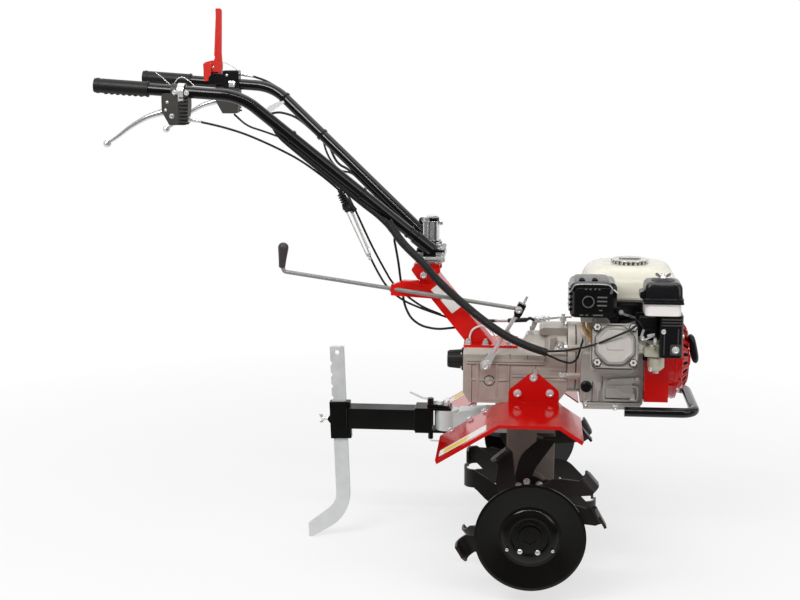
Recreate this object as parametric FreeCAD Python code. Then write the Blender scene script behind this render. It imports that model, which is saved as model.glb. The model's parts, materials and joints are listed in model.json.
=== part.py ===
import FreeCAD, Part
import math
import os

V = FreeCAD.Vector

# A walk-behind garden tiller: an engine and gearbox over a tined rotor, with two
# handlebars behind and a drag stake.  Millimetres.  +X is the way it drives, +Y its
# left side, +Z up.  Everything is drawn about the middle of the tine shaft and is
# moved at the end, so that the tines and the stake stand on Z = 0.

# ---------------------------------------------------------------- fits
RUN_FIT = 0.05          # radial play of a shaft that turns in its bore
SLIP = 0.3              # play between flat faces that slide
AIR = 6.0               # least air beside a part that moves

# ---------------------------------------------------------------- tine rotor
TINE_RADIUS = 168.5     # centre of the shaft to the middle of a paddle's outer face
TINE_TILT = 13.0        # degrees by which a paddle's leading edge stands further out
TINE_WIDTH = 46.0
TINE_THICK = 6.0
TINE_FOLD = 52.0        # how far a folded tip reaches sideways
TINE_BEND = 20.0        # inside radius of the fold
TINE_SWEEP = 34.0       # how far the root of a blade lies behind its tip
STAND_X = 60.0          # from straight under the shaft to the tips it stands on
INNER_SET_Y = 100.0     # blade sets, out from the middle
MIDDLE_SET_Y = 220.0
OUTER_SET_Y = 345.0
OUTER_PHASES = (16.0, 198.0)    # the outer set has two blades, bent outwards
SET_FLANGE_R = 46.0
HUB_R = 24.0
SHAFT_FLATS = 27.0      # hexagonal drive shaft, across flats
SHAFT_PLAY = 0.2        # hub bore over shaft flats, each side
REEL_INNER = 70.0       # hub tube, its near end
REEL_OUTER = 382.0      # hub tube, its far end

DISC_R = 127.5
DISC_THICK = 3.0
DISC_FLAT_R = 72.0
DISC_DISH = 12.0
DISC_HUB_LENGTH = 23.0
DISC_RIM_Y = REEL_OUTER + DISC_HUB_LENGTH
DISC_HUB_R = 27.0
DISC_HOLE_R = 5.0
DISC_HOLE_PCD = 120.0

# ---------------------------------------------------------------- gearbox
CASE_REAR = -170.0
CASE_BOTTOM = 224.0
CASE_TOP = 361.0
CASE_HALF_WIDTH = 70.0
CASE_FLANGE = 6.0       # rim round the split between the two halves
CRANK_Z = 330.0         # height of crankshaft and split line
BELL_START = 30.0
BELL_FACE = 118.0
BELL_R = 72.0
BELL_FLANGE_R = 80.5
BELL_FLANGE = 20.0      # length of its bolted flange
ADAPTER = 13.0          # engine's own ring in front of that flange
CASE_STEP = 28.0        # rise of the case towards the bell
LEG_HALF_LENGTH = 60.0
LEG_HALF_WIDTH = 38.0
LEG_BEARING_R = 44.0
LEG_BEARING_Y = 62.0
CAP_LENGTH = 42.0
CAP_R = 24.0
CAP_Z = CRANK_Z - 12.0

# ---------------------------------------------------------------- fenders
FENDER_SHEET = 3.0
FENDER_TOP = 228.0
FENDER_OUTER = 276.0
FENDER_FLAT_REAR = -78.0
FENDER_FLAT_FRONT = 68.0
FENDER_REAR = (-226.0, 137.0)
FENDER_FRONT = (122.0, 192.0)
FENDER_LIP = 9.0
PLATE_APEX = (4.0, 303.0)
PLATE_LOW = (-57.0, 67.0)       # its lower corners
PLATE_LOW_Z = 241.0

# ---------------------------------------------------------------- engine
CRANKCASE_FRONT = 270.0
CRANKCASE_HALF_WIDTH = 92.0
CRANKCASE_BOTTOM = 223.0
CRANKCASE_TOP = 408.0
CRANKCASE_WALL = 9.0
BORE_R = 34.0
CYL_ANGLE = 21.0        # cylinder above level, leaning to the right side
CYL_X = 192.0
CYL_R = 47.0
HEAD_SIZE = 104.0
HEAD_OUT = 218.0        # crankshaft to the outer face of the valve cover
COVER_THICK = 26.0
FIN_COUNT = 8
FIN_PITCH = 9.0
FIN_THICK = 2.5
SHROUD_FRONT = 352.0
SHROUD_R = 106.0
SHROUD_SHEET = 2.5
SHROUD_SIDE = 116.0     # middle to the flat near side of the fan housing
RECOIL_FRONT = 379.0
RECOIL_R = 92.0
TANK_X = (118.0, 358.0)
TANK_Y = (-62.0, 160.0)
TANK_SEAM = 492.0
TANK_Z = (TANK_SEAM - 40.0, TANK_SEAM + 70.0)
TANK_WALL = 2.5
TANK_CAP_R = 46.0
TANK_CAP_H = 10.0
MUFFLER_X = (84.5, 194.0)
MUFFLER_Y = (-205.0, -92.0)
MUFFLER_Z = (470.0, 554.0)
MUFFLER_SHEET = 2.0
MUFFLER_BEVEL = 15.0
OUTLET_R = 14.0
CLEANER_X = (254.5, 348.5)
CLEANER_Y = (-205.0, -112.0)
CLEANER_Z = (478.0, 557.0)
CLEANER_BAND = 33.0     # height of the pale band
CLEANER_BODY_Z = 376.0
CARB_Y = -146.0
CARB_Z = 392.0          # middle of the carburettor's throat
BOWL_X = 293.0
BOWL_R = 20.0
PORT_Z = 398.0          # where the exhaust pipes leave the cylinder head
BUMPER_R = 12.0
BUMPER_HALF_WIDTH = 120.0
BUMPER_Z = CRANKCASE_BOTTOM + 1.0
BUMPER_REAR = 224.0
BUMPER_FRONT = 407.0

# ---------------------------------------------------------------- handle column
COLUMN_HALF_WIDTH = 33.0
COLUMN_SHEET = 4.0
COLUMN_DEPTH = 50.0
COLUMN_FOOT_X = -126.0
BASE_PLATE = 6.0
TILT_X = -270.0
TILT_Z = 540.0
TILT_BOLT_R = 6.0
COLUMN_END_R = 17.0     # rounded top of the column about the tilt bolt
HEAD_SHEET = 4.0
HEAD_HALF_WIDTH = COLUMN_HALF_WIDTH + SLIP + HEAD_SHEET
HEAD_REAR = -291.0
HEAD_FRONT = -232.0
SWIVEL_X = -252.0
SWIVEL_Z = 566.0        # top of the tilting head
SWIVEL_R = 30.0
SWIVEL_DISC = 8.0
SWIVEL_PIN_R = 8.0
SWIVEL_PIN = 60.0
CLAMP_PLATE = 5.0
TOWER_R = 17.0
TOWER_TOP = SWIVEL_Z + 111.0

# ---------------------------------------------------------------- handlebars
BAR_R = 13.8
BAR_WALL = 2.0
BAR_HALF_WIDTH = 215.0
BAR_FOOT = (SWIVEL_X - 2.0, 50.0, SWIVEL_Z + 40.0)
BAR_BEND = (-683.0, 984.0)
BAR_END = (-1023.0, 1007.0)
BAR_BEND_R = 120.0
GRIP_R = 16.5
GRIP_LENGTH = 123.0
SOCKET_LENGTH = 50.0    # how far a bar sits in the clamp

# ---------------------------------------------------------------- hand controls
HOUSING_X = (-866.0, -803.0)      # lever housing on the right bar
HOUSING_LEFT = 33.0     # how much further ahead the left housing sits
HOUSING_DROP = 77.0     # lever housing below the bar
HOUSING_HALF_WIDTH = 17.0
BAND_R = 17.5           # steel band round the bar
LEVER_TIP = (-1003.0, 872.0)
LEVER_HALF_WIDTH = 7.0
RED_LEVER_X = -852.0
RED_LEVER_TOP = 1184.0
KNOB_TOP = (-613.0, 620.0)
KNOB_LENGTH = 62.0
KNOB_R = 11.0
SHIFT_ROD_R = 5.0
SHIFT_ROD_Y = -(CASE_HALF_WIDTH + 14.0)
SHIFT_ROD_END = (-32.0, 466.0)
SHIFT_PIVOT = (-114.0, 324.0)
SHIFT_BOSS_R = 14.0
SHIFT_STRAP = 48.0      # flat part of the arm, above its boss
GUIDE_X = -338.0

# ---------------------------------------------------------------- hitch and stake
HITCH_Z = 162.0
HITCH_PIN_X = -214.0
HITCH_NOSE_R = 30.0     # bracket nose that the clevis swings about
HITCH_NOSE = 52.0       # its height
CLEVIS_PLATE = 6.0
CLEVIS_REACH = 13.0     # plates beyond the pin
CLEVIS_BACK = (-78.0, -37.0)    # end sleeve of the arm, from the pin
HITCH_PIN_R = 9.0
HITCH_TUBE = 53.0       # square tube, over its flats
STAKE_X = -486.6        # middle of the stake
STAKE_WIDTH = 36.0
STAKE_THICK = 12.0
STAKE_TOP = 345.0
STAKE_LEAN = 2.0        # degrees, back at its top
STAKE_TURN_Z = -104.0   # where the line of its front edge turns back
STAKE_HOOK = 94.0       # how far its foot reaches back
SOCKET_Z = (105.0, 201.0)
SOCKET_WALL = 6.0

# ---------------------------------------------------------------- cables
CABLE_R = 2.6
LOOP_R = 2.9
SLEEVE_R = 9.0
BOOT_R = 9.0
BOOT_SHARE = 0.36       # part of the tensioner that its rubber boot covers
TENSIONER_R = 6.0
# corrugated sleeve from the right bar down to the gearbox
SLEEVE_ROUTE = [
    (-351.9, -108.3, 681.8), (-320, -113, 634), (-267, -114, 581), (-234, -112, 542),
    (-182, -110, 493), (-128, -110, 448), (-72, -107, 408), (-19, -107, 382), (35, -105, 363),
]
# throttle cable out of the sleeve, over the valve cover
CARBURETTOR_ROUTE = [
    (37.8, -105, 366.7), (76, -135, 376), (118, -180, 395), (153, -207, 412), (188, -213, 430),
    (225, -206, 445), (242, -190, 455),
]
# second cable out of the sleeve, up behind the bell
CASE_ROUTE = [
    (34.5, -105, 358.5), (68, -98, 342), (93, -96, 335), (109, -98, 347), (115, -99, 373),
    (123, -103, 404),
]
# loop from the right bar down behind the column
LOOP_ROUTE = [
    (-327.1, -69.4, 648.5), (-342, -64, 634), (-332, -57, 578), (-326, -46, 518),
    (-317, -42, 460), (-302, -38, 428), (-276, -33, 408), (-237, -28, 399), (-193, -25.8, 404),
]
# from the right lever housing under its bar
RIGHT_LEVER_ROUTE = [
    (-806.2, -215, 929.2), (-734, -212, 914), (-679, -205, 897), (-616, -190, 868),
    (-555, -165, 833), (-500, -136, 787), (-468, -124, 757),
]
# the boot and the tensioner tube in line with it
TENSIONER_ROUTE = [
    (-468, -124, 757), (-434, -110, 705), (-399, -84, 591),
]
# from the tensioner past the guide into the column
COLUMN_ROUTE = [
    (-399, -84, 591), (-385, -74, 558), (-367, -62, 522), (-348, -58, 498), (-317, -52.5, 474),
    (-272, -38, 452), (-213, -26.1, 430),
]
# from the left lever housing across and into the column
LEFT_LEVER_ROUTE = [
    (-787, 212, 912.0), (-751, 198, 883), (-691, 172, 868), (-614, 128, 846),
    (-540, 62, 807), (-494, 4, 779), (-458, -50, 741), (-432, -92, 703), (-393, -70, 608),
    (-349, -40, 518), (-321, -30, 489), (-276, -20, 454), (-229, -12, 434),
]

NODES = {}


# ---------------------------------------------------------------- drawing helpers
def at(plane, u, v, w):
    """A point from two coordinates in a plane and the distance w from it."""
    if plane == "xz":
        return V(u, w, v)
    if plane == "yz":
        return V(w, u, v)
    return V(u, v, w)


NORMAL = {"xz": V(0, 1, 0), "yz": V(1, 0, 0), "xy": V(0, 0, 1)}


def outline(points, plane, w):
    """Closed wire through the points; a third value in a point rounds its corner."""
    count = len(points)
    legs = []
    for i, point in enumerate(points):
        here = at(plane, point[0], point[1], w)
        radius = point[2] if len(point) > 2 else 0
        if radius == 0:
            legs.append((here, None, here))
            continue
        before = points[i - 1]
        after = points[(i + 1) % count]
        back = (at(plane, before[0], before[1], w) - here).normalize()
        ahead = (at(plane, after[0], after[1], w) - here).normalize()
        half = back.getAngle(ahead) / 2
        reach = radius / math.tan(half)
        middle = (back + ahead).normalize()
        crown = here + middle * (radius / math.sin(half) - radius)
        legs.append((here + back * reach, crown, here + ahead * reach))
    edges = []
    for i, leg in enumerate(legs):
        start, crown, end = leg
        if crown is not None:
            edges.append(Part.Arc(start, crown, end).toShape())
        following = legs[(i + 1) % count][0]
        if end.distanceToPoint(following) > 1e-6:
            edges.append(Part.LineSegment(end, following).toShape())
    return Part.Wire(edges)


def prism(points, plane, low, high):
    """The outline, filled and drawn out from low to high across its plane."""
    face = Part.Face(outline(points, plane, low))
    return face.extrude(NORMAL[plane] * (high - low))


def box(x, y, z):
    """A block between pairs of limits."""
    return Part.makeBox(x[1] - x[0], y[1] - y[0], z[1] - z[0], V(x[0], y[0], z[0]))


def rod(start, end, radius):
    """A round bar between two points."""
    along = end - start
    return Part.makeCylinder(radius, along.Length, start, along)


def ring(start, end, outer, inner):
    """A round tube between two points."""
    return rod(start, end, outer).cut(rod(start, end, inner))


def hexagon(start, end, flats):
    """A six-sided bar between two points, one flat facing forward."""
    along = end - start
    side = V(1, 0, 0) if abs(along.x) < 1e-6 else V(0, 0, 1)
    corner = flats / math.sqrt(3)
    other = (along.cross(side)).normalize()
    points = []
    for k in range(7):
        turn = math.radians(30 + 60 * k)
        points.append(start + side * corner * math.cos(turn) + other * corner * math.sin(turn))
    return Part.Face(Part.makePolygon(points)).extrude(along)


def path_wire(points, radii):
    """Straight runs joined by tangent arcs."""
    legs = [(points[0], None, points[0])]
    for i in range(1, len(points) - 1):
        here = points[i]
        back = (points[i - 1] - here).normalize()
        ahead = (points[i + 1] - here).normalize()
        half = back.getAngle(ahead) / 2
        radius = radii[i - 1]
        reach = radius / math.tan(half)
        crown = here + (back + ahead).normalize() * (radius / math.sin(half) - radius)
        legs.append((here + back * reach, crown, here + ahead * reach))
    legs.append((points[-1], None, points[-1]))
    edges = []
    for i in range(len(legs) - 1):
        start, crown, end = legs[i]
        if crown is not None:
            edges.append(Part.Arc(start, crown, end).toShape())
        edges.append(Part.LineSegment(end, legs[i + 1][0]).toShape())
    return Part.Wire(edges)


def bent_bar(points, radii, radius):
    """A round bar that follows straight runs and tangent arcs."""
    wire = path_wire(points, radii)
    along = points[1] - points[0]
    profile = Part.Wire([Part.makeCircle(radius, points[0], along)])
    return wire.makePipeShell([profile], True, False)


def mirrored(shape):
    """The same shape on the other side of the machine."""
    return shape.mirror(V(0, 0, 0), V(0, 1, 0))


def turned(shape, degrees, centre=V(0, 0, 0), axis=V(0, 1, 0)):
    """A turned copy."""
    copy = shape.copy()
    copy.rotate(centre, axis, degrees)
    return copy


def moved(shape, x, y, z):
    """A shifted copy."""
    copy = shape.copy()
    copy.translate(V(x, y, z))
    return copy


def joined(shapes):
    """One solid out of pieces that meet."""
    first = shapes[0]
    return first.fuse(shapes[1:]).removeSplitter()


# ---------------------------------------------------------------- tine rotor
def tine_blade():
    """One blade that points along +X and folds towards +Y.

    A flat sickle runs out from the hub flange.  Its end is folded a quarter turn, so
    that a flat paddle cuts the soil at the full radius.  The fold runs a little
    askew, which lifts the paddle's trailing edge clear of the cut.
    """
    half = TINE_WIDTH / 2
    depth = TINE_BEND + TINE_THICK
    tilt = math.radians(TINE_TILT)
    fold_x = TINE_RADIUS - depth * math.cos(tilt)
    fold_z = -depth * math.sin(tilt)
    across_x = half * math.sin(tilt)
    across_z = half * math.cos(tilt)
    low = -TINE_THICK / 2
    high = TINE_THICK / 2
    sickle = [
        (6.0, TINE_SWEEP - half),
        (70.0, TINE_SWEEP - half - 8.0, 70.0),
        (fold_x + across_x, fold_z - across_z),
        (fold_x - across_x, fold_z + across_z),
        (92.0, half + 24.0, 60.0),
        (30.0, TINE_SWEEP + half - 10.0, 12.0),
        (6.0, TINE_SWEEP),
    ]
    plate = prism(sickle, "xz", low, high)
    centre_y = high + TINE_BEND
    reach_y = low + TINE_FOLD
    inner = TINE_BEND
    diagonal = math.sqrt(0.5)
    edges = [
        Part.LineSegment(V(0, low, -half), V(0, high, -half)).toShape(),
        Part.Arc(V(0, high, -half),
                 V(inner * diagonal, centre_y - inner * diagonal, -half),
                 V(inner, centre_y, -half)).toShape(),
        Part.LineSegment(V(inner, centre_y, -half), V(inner, reach_y, -half)).toShape(),
        Part.LineSegment(V(inner, reach_y, -half), V(depth, reach_y, -half)).toShape(),
        Part.LineSegment(V(depth, reach_y, -half), V(depth, centre_y, -half)).toShape(),
        Part.Arc(V(depth, centre_y, -half),
                 V(depth * diagonal, centre_y - depth * diagonal, -half),
                 V(0, low, -half)).toShape(),
    ]
    paddle = Part.Face(Part.Wire(edges)).extrude(V(0, 0, TINE_WIDTH))
    corner = TINE_WIDTH * 0.35
    trim = prism([(reach_y + 1, half + 1), (reach_y - corner, half + 1),
                  (reach_y + 1, half - corner)], "yz", -1, depth + 1)
    paddle = turned(paddle.cut(trim), -TINE_TILT)
    paddle.translate(V(fold_x, 0, fold_z))
    return joined([plate, paddle])


def stand_phases():
    """Angles of the inner and middle blades that stand on the ground.

    The leading corners of both lie STAND_X behind and ahead of straight down.
    """
    half = TINE_WIDTH / 2
    tilt = math.radians(TINE_TILT)
    lead = V(TINE_RADIUS + half * math.sin(tilt), 0, half * math.cos(tilt))
    ahead = math.degrees(math.atan2(lead.z, lead.x))
    swing = math.degrees(math.asin(STAND_X / lead.Length))
    return 270 - swing + ahead, 270 + swing + ahead


def tine_reel():
    """The reel of the left side: a hub tube with three flanges of bent blades."""
    blade_out = tine_blade()
    blade_in = mirrored(blade_out)
    rear, front = stand_phases()
    sets = [
        (INNER_SET_Y, [rear + 90 * k for k in range(4)]),
        (MIDDLE_SET_Y, [front + 90 * k for k in range(4)]),
        (OUTER_SET_Y, OUTER_PHASES),
    ]
    parts = [rod(V(0, REEL_INNER, 0), V(0, REEL_OUTER, 0), HUB_R)]
    for place, phases in sets:
        back = place - TINE_THICK / 2
        parts.append(rod(V(0, back - 4, 0), V(0, back, 0), SET_FLANGE_R))
        for k, phase in enumerate(phases):
            outward = k % 2 == 0 or len(phases) == 2
            blade = blade_out if outward else blade_in
            parts.append(moved(turned(blade, -phase), 0, place, 0))
    bore = hexagon(V(0, REEL_INNER - 1, 0), V(0, REEL_OUTER + 1, 0), SHAFT_FLATS + 2 * SHAFT_PLAY)
    return joined(parts).cut(bore)


def tine_shaft():
    """The hexagonal drive shaft, round where it runs in the bearings of the leg."""
    end = REEL_OUTER
    bar = hexagon(V(0, -end, 0), V(0, end, 0), SHAFT_FLATS)
    journal_r = SHAFT_FLATS / 2 + 3
    journal = rod(V(0, -REEL_INNER, 0), V(0, REEL_INNER, 0), journal_r)
    return joined([bar, journal])


def side_disc():
    """The dished disc outside the tines of the left side, with its hexagonal socket."""
    low = DISC_RIM_Y - DISC_DISH
    profile = [
        (DISC_HUB_R - 1, low), (DISC_FLAT_R, low, 8.0),
        (DISC_R - 6, DISC_RIM_Y - DISC_THICK, 8.0), (DISC_R, DISC_RIM_Y - DISC_THICK),
        (DISC_R, DISC_RIM_Y), (DISC_R - 6, DISC_RIM_Y, 8.0),
        (DISC_FLAT_R, low + DISC_THICK, 8.0), (DISC_HUB_R - 1, low + DISC_THICK),
    ]
    dish = Part.Face(outline(profile, "xy", 0)).revolve(V(0, 0, 0), V(0, 1, 0), 360)
    hub = rod(V(0, REEL_OUTER, 0), V(0, DISC_RIM_Y, 0), DISC_HUB_R)
    socket = hexagon(V(0, REEL_OUTER - 1, 0), V(0, DISC_RIM_Y + 1, 0),
                     SHAFT_FLATS + 2 * SHAFT_PLAY)
    disc = joined([dish, hub]).cut(socket)
    for k in range(3):
        turn = math.radians(90 + 120 * k)
        x = DISC_HOLE_PCD / 2 * math.cos(turn)
        z = DISC_HOLE_PCD / 2 * math.sin(turn)
        disc = disc.cut(rod(V(x, low - 5, z), V(x, DISC_RIM_Y, z), DISC_HOLE_R))
    return disc


# ---------------------------------------------------------------- gearbox
def gearbox_lower_case():
    """Lower half of the cast gearbox, with the leg's seat and the split rim."""
    w = CASE_HALF_WIDTH
    side = [
        (CASE_REAR, CRANK_Z), (CASE_REAR, CASE_BOTTOM + 26, 10.0),
        (CASE_REAR + 16, CASE_BOTTOM, 14.0), (LEG_HALF_LENGTH, CASE_BOTTOM, 20.0),
        (LEG_HALF_LENGTH + 26, CASE_BOTTOM + 34, 12.0), (BELL_START + 62, CRANK_Z),
    ]
    case = prism(side, "xz", -w, w)
    rim_low = CRANK_Z - CASE_FLANGE
    rim = box((CASE_REAR + 8, BELL_START), (-w - CASE_FLANGE, w + CASE_FLANGE),
              (rim_low, CRANK_Z))
    ribs = []
    for x in (CASE_REAR + 34, CASE_REAR + 80):
        ribs.append(box((x, x + 6), (-w - 3, w + 3), (CASE_BOTTOM + 16, rim_low)))
    return joined([case, rim] + ribs)


def gearbox_upper_case():
    """Upper half of the gearbox, stepping up to the bell in front."""
    w = CASE_HALF_WIDTH
    step = CASE_TOP + CASE_STEP
    side = [
        (CASE_REAR, CRANK_Z), (BELL_START, CRANK_Z), (BELL_START, step),
        (-12.0, step, 6.0), (-22.0, CASE_TOP, 6.0), (CASE_REAR, CASE_TOP, 10.0),
    ]
    case = prism(side, "xz", -w, w)
    for y in (-w, w):
        inward = -1 if y > 0 else 1
        edge = 14.0
        low_wedge = [(y, step + 1), (y, CASE_TOP - edge), (y + inward * edge, CASE_TOP),
                     (y + inward * (edge + CASE_STEP), step + 1)]
        case = case.cut(prism(low_wedge, "yz", CASE_REAR - 1, BELL_START + 1))
    rim = box((CASE_REAR + 8, BELL_START), (-w - CASE_FLANGE, w + CASE_FLANGE),
              (CRANK_Z, CRANK_Z + CASE_FLANGE))
    return joined([case, rim])


def bell_housing():
    """Round housing between gearbox and engine, with a boss on top and its flange."""
    seat = BELL_FACE - ADAPTER
    profile = [
        (BELL_START, 0), (BELL_START, BELL_R - 8, 6.0), (BELL_START + 12, BELL_R, 8.0),
        (seat - BELL_FLANGE, BELL_R), (seat - BELL_FLANGE, BELL_FLANGE_R, 3.0),
        (seat, BELL_FLANGE_R), (seat, BELL_FLANGE_R - 4),
        (seat + 3, BELL_FLANGE_R - 4), (seat + 3, BELL_FLANGE_R),
        (BELL_FACE, BELL_FLANGE_R), (BELL_FACE, 0),
    ]
    bell = Part.Face(outline(profile, "xy", 0)).revolve(V(0, 0, 0), V(1, 0, 0), 360)
    bell.translate(V(0, 0, CRANK_Z))
    top = CRANK_Z + BELL_R + 8
    boss = prism([(BELL_START + 8, CRANK_Z), (seat - BELL_FLANGE, CRANK_Z),
                  (seat - BELL_FLANGE, top, 3.0), (BELL_START + 8, top, 6.0)], "xz", -34, 34)
    below = prism([(LEG_HALF_LENGTH + 28, CASE_BOTTOM - 1), (BELL_FACE + 1, CASE_BOTTOM - 1),
                   (BELL_FACE + 1, CRANK_Z - BELL_R + 2), (LEG_HALF_LENGTH + 28, CRANK_Z - BELL_R + 2)],
                  "xz", -200, 200)
    clutch = rod(V(BELL_START + 14, 0, CRANK_Z), V(BELL_FACE - 6, 0, CRANK_Z), BELL_R - 8)
    bell = joined([bell, boss]).cut(clutch)
    ears = BELL_FLANGE_R - BELL_R
    under = box((seat - BELL_FLANGE, BELL_FACE), (-200, 200), (0, CRANK_Z - BELL_R - ears + 6))
    return bell.cut(under).cut(gearbox_lower_case()).cut(gearbox_upper_case())


def axle_leg():
    """The chain case that carries the tine shaft, with its two bearing bosses."""
    top = CASE_BOTTOM
    half = LEG_HALF_LENGTH
    side = [
        (-half, top), (-half, 0), (half, 0), (half, top),
    ]
    body = prism(side, "xz", -LEG_HALF_WIDTH, LEG_HALF_WIDTH)
    foot = rod(V(0, -LEG_HALF_WIDTH, 0), V(0, LEG_HALF_WIDTH, 0), half)
    bosses = rod(V(0, -LEG_BEARING_Y, 0), V(0, LEG_BEARING_Y, 0), LEG_BEARING_R)
    flange = prism([(-half - 8, top - 8, 6.0), (half + 8, top - 8, 6.0),
                    (half + 8, top), (-half - 8, top)], "xz",
                   -LEG_HALF_WIDTH - 16, LEG_HALF_WIDTH + 16)
    leg = joined([body, foot, bosses, flange])
    bore = rod(V(0, -LEG_BEARING_Y - 1, 0), V(0, LEG_BEARING_Y + 1, 0),
               SHAFT_FLATS / 2 + 3 + RUN_FIT)
    return leg.cut(bore)


def pto_cap():
    """Rubber cap over the rear shaft end of the gearbox."""
    x = CASE_REAR
    flange = rod(V(x, 0, CAP_Z), V(x - 6, 0, CAP_Z), CAP_R + 5)
    cup = Part.makeCone(CAP_R, CAP_R - 4, CAP_LENGTH - 6, V(x - 6, 0, CAP_Z), V(-1, 0, 0))
    return joined([flange, cup])


# ---------------------------------------------------------------- fenders
def fender():
    """The left fender: a flat top with sloping wings and lips, and its bolted plate."""
    s = FENDER_SHEET
    inner = CASE_HALF_WIDTH + 3
    outer = FENDER_OUTER
    top = [
        (FENDER_REAR[0], FENDER_REAR[1]), (FENDER_FLAT_REAR, FENDER_TOP),
        (FENDER_FLAT_FRONT, FENDER_TOP), (FENDER_FRONT[0], FENDER_FRONT[1]),
        (FENDER_FRONT[0] - 2, FENDER_FRONT[1] - s), (FENDER_FLAT_FRONT - 1, FENDER_TOP - s),
        (FENDER_FLAT_REAR + 1, FENDER_TOP - s), (FENDER_REAR[0] + 2, FENDER_REAR[1] - s),
    ]
    sheet = prism(top, "xz", inner, outer)
    lip = [
        (FENDER_REAR[0], FENDER_REAR[1]), (FENDER_FLAT_REAR, FENDER_TOP),
        (FENDER_FLAT_FRONT, FENDER_TOP), (FENDER_FRONT[0], FENDER_FRONT[1]),
        (FENDER_FRONT[0] - 4, FENDER_FRONT[1] - FENDER_LIP),
        (FENDER_FLAT_FRONT - 3, FENDER_TOP - FENDER_LIP),
        (FENDER_FLAT_REAR + 3, FENDER_TOP - FENDER_LIP),
        (FENDER_REAR[0] + 4, FENDER_REAR[1] - FENDER_LIP),
    ]
    outside = prism(lip, "xz", outer - s, outer)
    plate = prism([
        (PLATE_LOW[0], FENDER_TOP - s), (PLATE_LOW[1], FENDER_TOP - s),
        (PLATE_LOW[1], PLATE_LOW_Z + 18, 14.0), (PLATE_APEX[0] + 16, PLATE_APEX[1] - 4, 8.0),
        (PLATE_APEX[0], PLATE_APEX[1] + 2, 12.0), (PLATE_APEX[0] - 14, PLATE_APEX[1] - 4, 8.0),
        (PLATE_LOW[0], PLATE_LOW_Z + 18, 14.0),
    ], "xz", CASE_HALF_WIDTH, inner)
    return joined([sheet, outside, plate])


# ---------------------------------------------------------------- engine
def crankcase():
    """The cast crankcase with its base flange and raised side panel."""
    w = CRANKCASE_HALF_WIDTH
    front = CRANKCASE_FRONT
    side = [
        (-w, CRANKCASE_BOTTOM + 12, 8.0), (w, CRANKCASE_BOTTOM + 12, 8.0),
        (w - 6, CRANKCASE_TOP - 30, 30.0), (w - 40, CRANKCASE_TOP, 20.0),
        (-w + 30, CRANKCASE_TOP, 20.0), (-w, CRANKCASE_TOP - 50, 20.0),
    ]
    case = prism(side, "yz", BELL_FACE, front)
    foot = box((BELL_FACE + 8, front - 6), (-w - 8, w + 8),
               (CRANKCASE_BOTTOM, CRANKCASE_BOTTOM + 12))
    panel = prism([(BELL_FACE + 50, CRANKCASE_BOTTOM + 30, 6.0),
                   (front - 22, CRANKCASE_BOTTOM + 30, 6.0),
                   (front - 28, CRANKCASE_BOTTOM + 74, 6.0),
                   (BELL_FACE + 56, CRANKCASE_BOTTOM + 74, 6.0)], "xz", -w - 6, -w + 4)
    t = CRANKCASE_WALL
    room = box((BELL_FACE + t, front - t), (-w + t, w - t),
               (CRANKCASE_BOTTOM + 12 + t, CRANKCASE_TOP - 30 - t))
    return joined([case, foot, panel]).cut(room)


def lay_cylinder(shape):
    """Turns a shape drawn about a level cylinder to the cylinder's real lean."""
    copy = shape.copy()
    copy.rotate(V(CYL_X, 0, CRANK_Z), V(1, 0, 0), -CYL_ANGLE)
    return copy


def engine_cylinder():
    """Finned barrel and head, drawn level towards -Y and then leaned."""
    root = CRANKCASE_HALF_WIDTH - 16
    head = HEAD_OUT - COVER_THICK
    barrel = rod(V(CYL_X, -root, CRANK_Z), V(CYL_X, -head, CRANK_Z), CYL_R)
    half = HEAD_SIZE / 2
    block = box((CYL_X - half + 6, CYL_X + half - 6), (-head, -head + 18),
                (CRANK_Z - half + 6, CRANK_Z + half - 6))
    fins = []
    for k in range(FIN_COUNT):
        y = -head + 22 + FIN_PITCH * k
        fins.append(prism([
            (CYL_X - half, CRANK_Z - half, 12.0), (CYL_X + half, CRANK_Z - half, 12.0),
            (CYL_X + half, CRANK_Z + half, 12.0), (CYL_X - half, CRANK_Z + half, 12.0),
        ], "xz", y, y + FIN_THICK))
    bore = rod(V(CYL_X, -root + 1, CRANK_Z), V(CYL_X, -head + 16, CRANK_Z), BORE_R)
    shape = joined([barrel, block] + fins).cut(bore)
    shape = lay_cylinder(shape).cut(crankcase())
    return max(shape.Solids, key=lambda piece: piece.Volume)


def valve_cover():
    """Cast cover with a raised eight-sided panel and four corner bolt bosses."""
    half = HEAD_SIZE / 2
    inner = HEAD_OUT - COVER_THICK
    z = CRANK_Z
    skirt = prism([
        (CYL_X - half, z - half, 12.0), (CYL_X + half, z - half, 12.0),
        (CYL_X + half, z + half, 12.0), (CYL_X - half, z + half, 12.0),
    ], "xz", -HEAD_OUT + 8, -inner)
    p = half - 14
    c = 20.0
    panel = prism([
        (CYL_X - p + c, z - p), (CYL_X + p - c, z - p), (CYL_X + p, z - p + c),
        (CYL_X + p, z + p - c), (CYL_X + p - c, z + p), (CYL_X - p + c, z + p),
        (CYL_X - p, z + p - c), (CYL_X - p, z - p + c),
    ], "xz", -HEAD_OUT, -HEAD_OUT + 9)
    return lay_cylinder(joined([skirt, panel]))


def fan_shroud():
    """Pressed fan housing: a round drum with a flat-sided duct to the cylinder."""
    z = CRANK_Z + 8
    t = SHROUD_SHEET
    duct_front = SHROUD_FRONT - 24
    duct_low = CRANK_Z - 82
    duct_high = CRANK_Z + 30

    def form(inset):
        x0 = CRANKCASE_FRONT + inset
        drum = rod(V(x0, 0, z), V(SHROUD_FRONT - inset, 0, z), SHROUD_R - inset)
        duct = box((x0, duct_front - inset), (-SHROUD_SIDE + inset, 0),
                   (duct_low + inset, duct_high - inset))
        return joined([drum, duct])
    return form(0).cut(form(t))


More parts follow.
